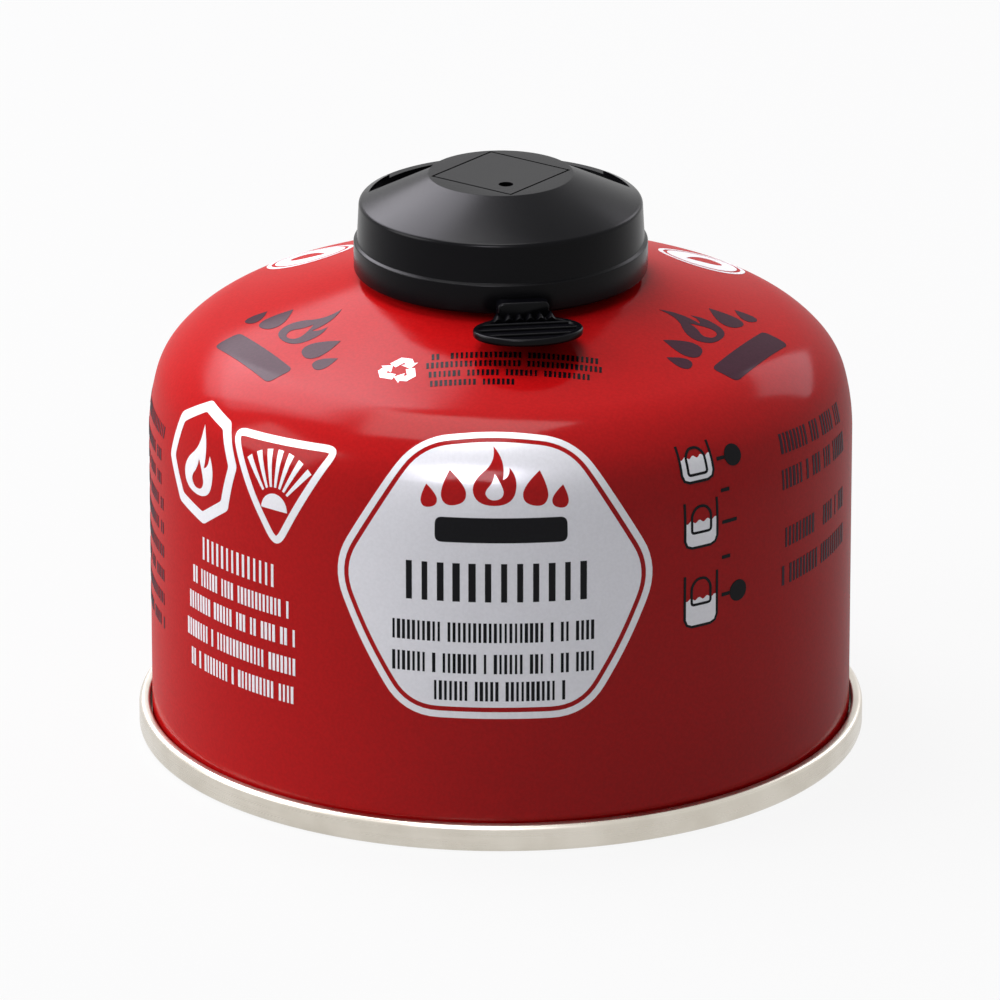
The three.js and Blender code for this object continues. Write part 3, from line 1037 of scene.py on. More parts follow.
@dataclass
class Print:
    """One ink on one patch of the shell, as thin closed shapes that follow the metal."""

    face: ShellFace
    name: str
    angle: float
    run: float
    lift: float = 0.035
    sink: float = 0.05
    grid: Point = (1.4, 0.7)
    level: bool = False
    shapes: list[list[Loop]] = field(default_factory=list)

    def add(self, outline: Loop, *holes: Loop) -> None:
        """Adds a shape and the holes in it, about the middle of the patch."""
        self.shapes.append([outline, *holes])

    def flat(self) -> bmesh.types.BMesh:
        """The shapes as flat faces."""
        form = bmesh.new()
        for loops in self.shapes:
            points = [Vector((x, y, 0.0)) for loop in loops for x, y in loop]
            corners = [form.verts.new(point) for point in points]
            for trio in tessellate_polygon([[Vector((x, y, 0.0)) for x, y in loop] for loop in loops]):
                a, b, c = (points[i] for i in trio)
                if abs((b - a).cross(c - a).z) < 1e-9:
                    continue
                facing_up = (b - a).cross(c - a).z > 0
                form.faces.new([corners[i] for i in (trio if facing_up else trio[::-1])])
        return form

    def cut(self, form: bmesh.types.BMesh) -> None:
        """Cuts flat faces along a grid, so that they can bend."""
        for axis, step in enumerate(self.grid):
            values = [v.co[axis] for v in form.verts]
            for i in range(math.ceil(min(values) / step), math.floor(max(values) / step) + 1):
                along = Vector((1.0, 0.0, 0.0)) if axis == 0 else Vector((0.0, 1.0, 0.0))
                everything = form.verts[:] + form.edges[:] + form.faces[:]
                bmesh.ops.bisect_plane(
                    form, geom=everything, plane_co=along * i * step, plane_no=along, dist=1e-5
                )
        bmesh.ops.remove_doubles(form, verts=form.verts, dist=1e-4)

    def laid(self, across: float, up: float) -> Point:
        """Where a point of the patch comes to lie.

        Args:
            across: Its distance to the right of the middle.
            up: Its distance above the middle.

        Returns:
            The angle from the front in radians and the distance along the metal.
        """
        middle, reach = math.radians(self.angle), self.face.radius(self.run)
        if not self.level:
            return middle + across / reach, self.run + up
        inward = reach - up
        return middle + math.atan2(across, inward), self.run + reach - math.hypot(across, inward)

    def wrapped(self, flat: bmesh.types.BMesh) -> bmesh.types.BMesh:
        """Bends flat faces round the shell and closes them below.

        Args:
            flat: The faces, about the middle of the patch.

        Returns:
            The closed shapes in metres.
        """
        form = bmesh.new()
        top, under = {}, {}
        for vert in flat.verts:
            angle, run = self.laid(vert.co.x, vert.co.y)
            top[vert] = form.verts.new(self.face.place(angle, run, self.lift) * MM)
            under[vert] = form.verts.new(self.face.place(angle, run, -self.sink) * MM)
        for item in flat.faces:
            form.faces.new([top[v] for v in item.verts])
            form.faces.new([under[v] for v in reversed(item.verts)])
        for edge in flat.edges:
            if len(edge.link_loops) == 1:
                loop = edge.link_loops[0]
                a, b = loop.vert, loop.link_loop_next.vert
                form.faces.new([top[b], top[a], under[a], under[b]])
        flat.free()
        return form

    def make(self, trees: Trees, material: bpy.types.Material, blocks: Sequence["WordBlocks"] = ()) -> None:
        """Makes the piece of this ink.

        Args:
            trees: The shared trees.
            material: The ink.
            blocks: Rows of blocks in the same ink.
        """
        flat = self.flat()
        for item in blocks:
            item.lay_on(flat, trees, material)
        self.cut(flat)
        mesh = mesh_of(self.wrapped(flat), self.name)
        smooth(mesh, ROUND_CREASE)
        finish_piece(linked(self.name, mesh), Body.CANISTER, material)


@dataclass(frozen=True)
class WordBlocks:
    """Rows of plain blocks where a cartridge carries words."""

    centre: Point
    across: int
    cell: float
    height: float
    seed: int
    gaps: float = 0.12
    fill: float = 0.56
    turn: float = 0.0
    rows: int = 1
    pitch: float = 1.0

    def lay_on(self, flat: bmesh.types.BMesh, trees: Trees, material: bpy.types.Material) -> None:
        """Adds the blocks to the flat faces of a print.

        Args:
            flat: The faces that the blocks join.
            trees: The shared trees.
            material: The ink.
        """
        rows = trees.blocks.grow(
            "blocks",
            single_point("blocks"),
            material,
            Across=self.across,
            Rows=self.rows,
            Cell=self.cell,
            Row_Pitch=self.pitch,
            Height=self.height,
            Fill=self.fill,
            Gap_Chance=self.gaps,
            Seed=self.seed,
        )
        mesh = rows.data
        shift = Matrix.Translation((*self.centre, 0.0)) @ Matrix.Rotation(math.radians(self.turn), 4, "Z")
        mesh.transform(shift)
        flat.from_mesh(mesh)
        bpy.data.objects.remove(rows)
        bpy.data.meshes.remove(mesh)


FLAME = curved(
    (0.0, 0.0),
    ((0.34, 0.0), (0.36, 0.3)),
    ((0.38, 0.48), (0.25, 0.62)),
    ((0.26, 0.46), (0.14, 0.42)),
    ((0.2, 0.74), (-0.03, 1.0)),
    ((0.02, 0.74), (-0.15, 0.58)),
    ((-0.36, 0.42), (-0.36, 0.26)),
    ((-0.34, 0.0), (0.0, 0.0)),
)
FLAME_EYE = curved(
    (0.0, 0.09),
    ((0.15, 0.1), (0.15, 0.23)),
    ((0.12, 0.36), (0.0, 0.52)),
    ((-0.02, 0.38), (-0.1, 0.3)),
    ((-0.17, 0.22), (-0.14, 0.17)),
    ((-0.1, 0.09), (0.0, 0.09)),
)
DROP = curved(
    (0.0, 0.0),
    ((0.36, 0.0), (0.36, 0.32)),
    ((0.34, 0.56), (0.0, 1.0)),
    ((-0.34, 0.56), (-0.36, 0.32)),
    ((-0.36, 0.0), (0.0, 0.0)),
)


@dataclass(frozen=True)
class Emblem:
    """A plain flame between pairs of drops that shrink outwards, in shares of its height."""

    base: Point
    height: float
    pairs: int = 2
    first_reach: float = 0.22
    pitch: float = 0.42
    sag: float = 0.05
    largest: float = 0.78
    shrink: float = 0.2
    lean: float = 12.0

    def shapes(self) -> list[list[Loop]]:
        """The flame and the drops, each with its holes."""
        flame, eye = (moved(form, self.base, self.height) for form in (FLAME, FLAME_EYE))
        shapes = [[flame, eye[::-1]]]
        for i in range(1, self.pairs + 1):
            for side in (-1, 1):
                across = side * self.height * (self.first_reach + self.pitch * i)
                up = self.height * self.sag * (1 - i)
                size = self.height * (self.largest - self.shrink * i)
                place = (self.base[0] + across, self.base[1] + up)
                shapes.append([moved(DROP, place, size, -side * self.lean)])
        return shapes


@dataclass
class FrontLabel:
    """The six-sided label on the front: white band, red line, silver field and plain marks."""

    angle: float = -1.0
    run: float = 34.6
    half_width: float = 20.5
    side_half: float = 16.5
    foot_half: float = 11.2
    top_half: float = 10.3
    peak: float = 18.9
    top: float = 17.5
    widest: float = 0.1
    side: float = -9.2
    foot: float = -17.9
    band: float = 0.85
    line: float = 0.6
    corner: float = 4.4
    emblem: Emblem = Emblem((0.0, 9.2), 7.4)
    bar: tuple[Point, ...] = ((-7.2, 4.6), (8.8, 4.6), (8.8, 7.7), (-7.2, 7.7))
    bar_corner: float = 0.9
    title: WordBlocks = WordBlocks((0.2, -0.5), 12, 1.92, 4.9, 11, gaps=0.0, fill=0.42)
    rows: tuple[tuple[float, float, int, int], ...] = (
        (-0.2, -6.9, 40, 23),
        (-0.2, -10.9, 40, 5),
        (0.6, -14.4, 26, 8),
    )
    cell: float = 0.62
    letter_height: float = 2.5

    def outline(self) -> Loop:
        """The outer edge of the label."""
        right = [
            (self.foot_half, self.foot),
            (self.side_half, self.side),
            (self.half_width, self.widest),
            (self.top_half, self.top),
        ]
        return softened([*right, (0.0, self.peak), *((-x, y) for x, y in right[::-1])], self.corner)

    def build(self, face: ShellFace, trees: Trees, palette: Palette) -> None:
        """Prints the label."""
        outer = self.outline()
        band = Print(face, "label_band", self.angle, self.run)
        band.add(outer, inset(outer, self.band)[::-1])
        band.make(trees, palette.white)
        plate = Print(face, "label_field", self.angle, self.run)
        plate.add(inset(outer, self.band + self.line))
        plate.make(trees, palette.silver)
        sign = Print(face, "label_emblem", self.angle, self.run, lift=0.05, sink=0.02)
        sign.shapes.extend(self.emblem.shapes())
        sign.make(trees, palette.emblem_red)
        marks = Print(face, "label_marks", self.angle, self.run, lift=0.05, sink=0.02)
        marks.add(softened(self.bar, self.bar_corner))
        blocks = [
            WordBlocks((x, y), count, self.cell, self.letter_height, seed) for x, y, count, seed in self.rows
        ]
        marks.make(trees, palette.black, [self.title, *blocks])


@dataclass
class LeftPrint:
    """White frames and rows of blocks to the left of the label, and dark rows beyond them."""

    ring_angle: float = -58.0
    ring_run: float = 42.2
    ring_radius: float = 7.75
    triangle_angle: float = -40.5
    triangle_run: float = 43.4
    rows_angle: float = -48.0
    rows_run: float = 22.4
    ring_turn: float = 10.0
    ring_corner: float = 0.5
    ring_inner_share: float = 0.8
    flame_foot: Point = (0.0, -4.2)
    flame_height: float = 8.8
    triangle: tuple[Point, ...] = ((9.9, 6.0), (-8.0, 5.0), (1.5, -8.9))
    triangle_corner: float = 2.8
    triangle_band: float = 0.95
    sun_centre: Point = (1.1, -3.5)
    sun_radius: float = 2.0
    ray: tuple[Point, ...] = ((2.8, -0.16), (7.4, -0.42), (7.4, 0.42), (2.8, 0.16))
    ray_count: int = 7
    ray_first: float = 50.0
    ray_fan: float = 80.0
    title: WordBlocks = WordBlocks((0.1, 9.0), 14, 0.98, 2.9, 3, gaps=0.0, fill=0.36)
    rows: tuple[tuple[float, int, int], ...] = ((5.1, 29, 14), (1.6, 32, 21), (-2.1, 34, 33), (-5.8, 31, 42))
    cell: float = 0.62
    letter_height: float = 2.2
    far_angle: float = -92.0
    far_run: float = 30.0
    far_rows: WordBlocks = WordBlocks((0.0, 0.0), 38, 0.8, 1.5, 60, 0.16, 0.5, rows=9, pitch=3.1)

    def sunrise(self) -> list[list[Loop]]:
        """A half disc under a fan of rays, as shapes without holes."""
        shapes = [[arc(self.sun_centre, self.sun_radius, 0, 180, 16)]]
        for i in range(self.ray_count):
            angle = self.ray_first + self.ray_fan * i / (self.ray_count - 1)
            shapes.append([moved(self.ray, self.sun_centre, 1.0, angle)])
        return shapes

    def build(self, face: ShellFace, trees: Trees, palette: Palette) -> None:
        """Prints the two frames and the rows."""
        ring = Print(face, "left_ring", self.ring_angle, self.ring_run)
        outer = softened(circle((0.0, 0.0), self.ring_radius, 8), self.ring_corner)
        hole = moved(outer, (0.0, 0.0), self.ring_inner_share, self.ring_turn)
        ring.add(moved(outer, (0.0, 0.0), 1.0, self.ring_turn), hole[::-1])
        eye = moved(FLAME_EYE, self.flame_foot, self.flame_height)
        ring.add(moved(FLAME, self.flame_foot, self.flame_height), eye[::-1])
        ring.make(trees, palette.white)
        triangle = Print(face, "left_triangle", self.triangle_angle, self.triangle_run)
        edge = softened(self.triangle, self.triangle_corner)
        triangle.add(edge, inset(edge, self.triangle_band)[::-1])
        triangle.shapes.extend(self.sunrise())
        triangle.make(trees, palette.white)
        rows = Print(face, "left_rows", self.rows_angle, self.rows_run)
        blocks = [
            WordBlocks((self.title.centre[0], y), count, self.cell, self.letter_height, seed)
            for y, count, seed in self.rows
        ]
        rows.make(trees, palette.white, [self.title, *blocks])
        far = Print(face, "far_left_rows", self.far_angle, self.far_run)
        far.make(trees, palette.smoke, [self.far_rows])


@dataclass
class RightPrint:
    """Small pots with falling levels, their ticks and dark rows to the right of the label."""

    angle: float = 33.8
    run: float = 37.0
    pot_width: float = 4.7
    stroke: float = 0.34
    pots: tuple[tuple[float, float, float, float], ...] = (
        (7.3, 4.7, 3.0, 0.7),
        (-0.9, 5.8, 3.3, 1.7),
        (-11.0, 6.6, 3.5, 2.6),
    )
    ticks: tuple[tuple[float, float], ...] = ((9.4, 4.3), (5.5, 4.4), (1.5, 5.4), (-3.0, 4.4), (-7.8, 4.3))
    tick_start: float = 3.1
    tick_stroke: float = 0.45
    disc_across: float = 5.7
    disc_radius: float = 1.35
    disc_heights: Point = (9.4, -7.8)
    corner_points: tuple[Point, ...] = ((0.0, 1.0), (0.3, 0.3), (1.0, 0.0))
    wave_height: float = 0.17
    wave_count: int = 4
    can_half: Point = (1.55, 0.7)
    can_heights: Point = (2.6, 3.6)
    can_corner: float = 0.6
    far_angle: float = 63.5
    far_run: float = 36.5
    rows: tuple[tuple[float, float, int, int, float], ...] = (
        (0.2, 8.5, 22, 71, -3.5),
        (0.0, 4.4, 23, 74, -1.5),
        (0.2, -2.9, 22, 79, 0.0),
        (0.0, -7.7, 23, 85, 0.0),
    )
    cell: float = 0.78
    letter_height: float = 2.5

    def corner(self, base: float) -> Loop:
        """The rounded lower right corner of a pot, from the side to the floor."""
        half = self.pot_width / 2
        return [(half - drawn_in, base + rise) for drawn_in, rise in self.corner_points]

    def pot(self, base: float, height: float) -> Loop:
        """The open line of a pot with rounded lower corners."""
        side = [(self.pot_width / 2, base + height), *self.corner(base)]
        return [(-x, y) for x, y in side] + side[::-1]

    def liquid(self, base: float, level: float) -> Loop:
        """Liquid with a wavy top inside a pot."""
        steps = 6 * self.wave_count
        waves = []
        for i in range(steps + 1):
            across = self.pot_width / 2 - self.pot_width * i / steps
            waves.append((across, base + level + self.wave_height * math.sin(i * math.pi / 3)))
        corner = self.corner(base)
        return [*waves, *((-x, y) for x, y in corner), *corner[::-1]]

    def can(self, base: float) -> Loop:
        """A small can with a domed top that floats in a pot."""
        half, dome_half = self.can_half
        shoulder, top = self.can_heights
        side = [(half, base), (half, base + shoulder), (dome_half, base + top)]
        return softened([*side, *((-x, y) for x, y in side[::-1])], self.can_corner)

    def build(self, face: ShellFace, trees: Trees, palette: Palette) -> None:
        """Prints the pots, the ticks, the dark discs and the rows."""
        liquid = Print(face, "pot_liquid", self.angle, self.run)
        lines = Print(face, "pot_lines", self.angle, self.run, lift=0.05, sink=0.02)
        for base, height, level, depth in self.pots:
            liquid.add(self.liquid(base, level))
            lines.add(ribbon(self.pot(base, height), self.stroke))
            can = self.can(base + depth)
            lines.add(can, inset(can, self.stroke)[::-1])
        for height, reach in self.ticks:
            lines.add(ribbon([(self.tick_start, height), (reach, height)], self.tick_stroke))
        for height in self.disc_heights:
            lines.add(circle((self.disc_across, height), self.disc_radius, 28))
        lines.make(trees, palette.black)
        liquid.make(trees, palette.white)
        far = Print(face, "right_rows", self.far_angle, self.far_run)
        blocks = [
            WordBlocks((x, y), count, self.cell, self.letter_height, seed, turn=turn)
            for x, y, count, seed, turn in self.rows
        ]
        far.make(trees, palette.smoke, blocks)


@dataclass
class ShoulderPrint:
    """Dark motifs, recycling arrows, small rows and white discs on the shoulder."""

    motif_angles: tuple[float, ...] = (-63.0, 64.0)
    motif_run: float = 62.6
    arrows_angle: float = -25.5
    arrows_run: float = 63.2
    arrows_size: float = 2.75
    arrow_width: float = 0.4
    arrow_head: float = 0.36
    arrow_tail: Point = (0.42, 0.73)
    arrow_neck: float = 0.52
    arrow_bend: float = 0.32
    disc_angles: tuple[float, ...] = (-129.0, 125.0)
    disc_run: float = 61.0
    disc_radii: tuple[float, float, float] = (5.6, 5.0, 4.5)
    disc_drop_foot: Point = (0.0, -2.6)
    disc_drop_height: float = 5.2
    emblem: Emblem = Emblem((0.0, -0.8), 8.6)
    bar: tuple[Point, ...] = ((-7.6, -6.8), (7.6, -6.8), (7.6, -3.2), (-7.6, -3.2))
    bar_corner: float = 1.0
    rows_angle: float = 3.4
    rows_run: float = 65.2
    rows: tuple[tuple[float, float, int, int], ...] = (
        (0.0, 2.6, 36, 90),
        (0.1, 0.9, 37, 91),
        (-0.3, -0.9, 35, 92),
        (-5.2, -2.4, 18, 93),
    )
    rows_turn: float = -4.0
    cell: float = 0.58
    letter_height: float = 1.15

    def arrow(self) -> Loop:
        """One of three bent arrows that chase each other round a triangle."""
        size = self.arrows_size
        ahead = Vector((0.5, -math.sqrt(3) / 2))
        corner, width, head = Vector((0.0, size)), self.arrow_width * size, self.arrow_head * size
        start = (corner.x - self.arrow_tail[0] * size, corner.y - self.arrow_tail[1] * size)
        neck = corner + ahead * self.arrow_neck * size
        bend = self.arrow_bend * size
        high = corner.y + bend * ahead.y
        line = [start, (-bend * ahead.x, high), (bend * ahead.x, high)]
        edge = ribbon([*line, tuple(neck)], width)
        side = Vector((ahead.y, -ahead.x)) * head
        return [*edge[:4], tuple(neck + side), tuple(neck + ahead * head), tuple(neck - side), *edge[4:]]

    def build(self, face: ShellFace, trees: Trees, palette: Palette) -> None:
        """Prints every mark on the shoulder."""
        for number, angle in enumerate(self.motif_angles):
            motif = Print(face, f"shoulder_motif_{number}", angle, self.motif_run, level=True)
            motif.shapes.extend(self.emblem.shapes())
            motif.add(softened(self.bar, self.bar_corner))
            motif.make(trees, palette.smoke)
        arrows = Print(face, "recycling_arrows", self.arrows_angle, self.arrows_run, level=True)
        for turn in (0, 120, 240):
            arrows.add(moved(self.arrow(), (0.0, 0.0), 1.0, turn))
        arrows.make(trees, palette.white)
        rows = Print(face, "shoulder_rows", self.rows_angle, self.rows_run, level=True)
        blocks = [
            WordBlocks((x, y), count, self.cell, self.letter_height, seed, turn=self.rows_turn)
            for x, y, count, seed in self.rows
        ]
        rows.make(trees, palette.black, blocks)
        outer, gap, inner = (circle((0.0, 0.0), radius) for radius in self.disc_radii)
        drop = moved(DROP, self.disc_drop_foot, self.disc_drop_height)
        for number, angle in enumerate(self.disc_angles):
            disc = Print(face, f"shoulder_disc_{number}", angle, self.disc_run, level=True)
            disc.add(outer, gap[::-1])
            disc.add(inner, drop[::-1])
            disc.make(trees, palette.white)


# The base end and the valve


@dataclass
class BaseEnd:
    """The concave base end, rolled round the wall into a double seam."""

    seam_radius: float = 45.0
    seam_height: float = 3.4
    hook_inner: float = 43.65
    chuck_wall: float = 42.5
    sheet: float = 0.5
    foot: float = 0.9
    edge_height: float = 3.6
    rise: float = 7.0
    foot_round: float = 0.66
    top_round: float = 0.66
    panel_round: float = 0.7

    def panel(self, lift: float) -> Loop:
        """The concave panel from the axis outwards, raised by a distance."""
        edge = self.chuck_wall - self.sheet - self.panel_round
        sphere = (edge**2 + self.rise**2) / (2 * self.rise)
        drop = math.sqrt(sphere**2 - edge**2)
        return [
            (r, self.edge_height + math.sqrt(sphere**2 - r**2) - drop + lift)
            for r in (edge * i / 18 for i in range(19))
        ]

    def section(self) -> Loop:
        """The closed section of the base end."""
        inner = self.chuck_wall - self.sheet
        below = filleted(
            [
                (*self.panel(0.0)[-1], 0.0),
                (inner, self.edge_height, 0.6),
                (inner, 0.0, self.foot_round),
                (self.seam_radius, 0.0, self.foot_round),
                (self.seam_radius, self.seam_height, self.top_round),
                (self.hook_inner, self.seam_height, 0.3),
                (self.hook_inner, self.foot, 0.0),
                (self.chuck_wall, self.foot, 0.0),
                (self.chuck_wall, self.edge_height + self.sheet, 1.0),
                (*self.panel(self.sheet)[-1], 0.0),
            ],
            6,
        )
        return [*self.panel(0.0)[:-1], *below, *self.panel(self.sheet)[:-1][::-1]]

    def build(self, trees: Trees, palette: Palette) -> None:
        """Turns the base end and sets it in place of its solid."""
        piece = trees.turn("seamed_base", self.section(), palette.seam, 256)
        finish_piece(piece, Body.CANISTER, palette.seam, ["base_end"])


@dataclass
class ValveCup:
    """The crimped valve cup with its threaded pedestal, and the stem inside it."""

    neck: Point
    sheet: float = 0.45
    gap: float = 0.3
    depth: float = 6.65
    pedestal_radius: float = 5.56
    pedestal_height: float = 9.5
    mouth: float = 2.2
    floor_round: float = 0.9
    thread_pitch: float = 0.907
    thread_depth: float = 0.4
    neck_bead: float = 1.4
    stem_radius: float = 1.35
    stem_recess: float = 0.8
    stem_travel: float = 1.8
    gasket: float = 1.2
    head_thickness: float = 1.5
    spring_radius: float = 2.2
    spring_wire: float = 0.26
    spring_turns: int = 6
    spring_foot: float = 54.215
    spring_sides: int = 14
    thread_end: float = 0.8
    thread_start: float = 1.6
    thread_bite: float = 0.02
    head_radius: float = 2.9
    tail_length: float = 2.4
    socket_radius: float = 0.5
    socket_depth: float = 1.4

    @property
    def inner_curl(self) -> float:
        """The inner radius of the curl."""
        return self.neck_bead + self.gap

    @property
    def floor_top(self) -> float:
        """The height of the cup's floor."""
        return self.neck[1] + self.inner_curl + self.sheet - self.depth

    @property
    def top(self) -> float:
        """The height of the pedestal's face."""
        return self.floor_top + self.pedestal_height

    def section(self) -> Loop:
        """The closed section of the drawn sheet, with the core of the thread."""
        outer_wall = self.neck[0] - self.inner_curl
        bore = self.pedestal_radius - self.sheet
        core = self.pedestal_radius - self.thread_depth
        under = filleted(
            [
                (outer_wall, self.neck[1], 0.0),
                (outer_wall, self.floor_top - self.sheet, self.floor_round),
                (bore, self.floor_top - self.sheet, 0.2),
                (bore, self.top - self.sheet, 0.0),
                (self.mouth, self.top - self.sheet, 0.0),
            ]
        )
        over = filleted(
            [
                (self.mouth, self.top - self.sheet, 0.0),
                (self.mouth, self.top, 0.15),
                (core, self.top, 0.35),
                (core, self.floor_top, 0.5),
                (outer_wall - self.sheet, self.floor_top, 0.5),
                (outer_wall - self.sheet, self.neck[1], 0.0),
            ]
        )
        inside = arc(self.neck, self.inner_curl, -25, 180, 24)
        outside = arc(self.neck, self.inner_curl + self.sheet, 180, -25, 24)
        return [*inside[:-1], *under, *over[1:-1], *outside, inside[0]]

    def build(self, trees: Trees, palette: Palette) -> None:
        """Makes the cup, its thread and the stem, and sets them in place of their solids."""
        cup = trees.turn("crimped_cup", self.section(), palette.cup, 144)
        finish_piece(cup, Body.CANISTER, palette.cup, ["valve_cup"])
        self.build_thread(trees, palette)
        self.build_spring(trees, palette)
        self.build_stem(trees, palette)

    def build_thread(self, trees: Trees, palette: Palette) -> None:
        """Winds the ridge of the thread round the pedestal's core."""
        length = self.pedestal_height - self.thread_start - self.thread_end
        ridge = self.thread_depth + self.thread_bite
        thread = trees.wind(
            "pedestal_thread",
            palette.cup,
            radius=self.pedestal_radius - ridge,
            wire=ridge,
            bottom=self.floor_top + self.thread_start,
            length=length,
            turns=length / self.thread_pitch,
            sides=4,
        )
        finish_piece(thread, Body.CANISTER, palette.cup)

    @property
    def head_bottom(self) -> float:
        """The height of the lower face of the stem's sealing head."""
        return self.top - self.sheet - self.gasket - self.gap - self.head_thickness

    def build_spring(self, trees: Trees, palette: Palette) -> None:
        """Winds the spring below the stem, at its rest length."""
        upper = self.head_bottom - self.gap - self.spring_wire
        lower = self.spring_foot + self.gap / 2 + self.spring_wire
        spring = trees.wind(
            "coil_spring",
            palette.wire,
            radius=self.spring_radius,
            wire=self.spring_wire,
            bottom=lower,
            length=upper - lower,
            turns=self.spring_turns,
            sides=self.spring_sides,
        )
        finish_piece(spring, Body.CANISTER, palette.wire, ["valve_spring"])
        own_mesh(spring)

    def build_stem(self, trees: Trees, palette: Palette) -> None:
        """Turns the plunger stem with its sealing head and rounded top."""
        head_bottom = self.head_bottom
        head_top = head_bottom + self.head_thickness
        tail = head_bottom - self.tail_length
        tail_radius = self.spring_radius - self.spring_wire - self.gap
        top = self.top - self.stem_recess
        section = filleted(
            [
                (0.0, tail, 0.0),
                (tail_radius, tail, 0.25),
                (tail_radius, head_bottom, 0.0),
                (self.head_radius, head_bottom, 0.2),
                (self.head_radius, head_top, 0.2),
                (self.stem_radius, head_top, 0.15),
                (self.stem_radius, top, 0.25),
                (self.socket_radius, top, 0.15),
                (self.socket_radius, top - self.socket_depth, 0.1),
                (0.0, top - self.socket_depth, 0.0),
            ]
        )
        stem = trees.turn("plunger_stem", section, palette.nylon, 64)
        finish_piece(stem, Body.STEM, palette.nylon, ["valve_stem"])


# The cap


class Join(Enum):
    """How one solid works on another."""

    CUT = "DIFFERENCE"
    ADD = "UNION"


def combined(base: bpy.types.Object, tool: bpy.types.Object, how: Join) -> None:
    """Cuts or joins a solid with another, which is used up.

    Args:
        base: The solid that is kept.
        tool: The solid that works on it.
        how: Whether it cuts or joins.
    """
    modifier = base.modifiers.new("solid", "BOOLEAN")
    modifier.operation = how.value
    modifier.solver = "EXACT"
    modifier.object = tool
    bpy.context.view_layer.update()
    depsgraph = bpy.context.evaluated_depsgraph_get()
    mesh = bpy.data.meshes.new_from_object(base.evaluated_get(depsgraph))
    base.modifiers.remove(modifier)
    old = base.data
    base.data = mesh
    bpy.data.meshes.remove(old)
    used = tool.data
    bpy.data.objects.remove(tool)
    bpy.data.meshes.remove(used)


def prism(name: str, outline: Loop, bottom: float, top: float) -> bpy.types.Object:
    """An upright prism on a counterclockwise outline, in millimetres."""
    rings = [[(x, y, height) for x, y in outline] for height in (bottom, top)]
    return linked(name, lofted(name, rings))


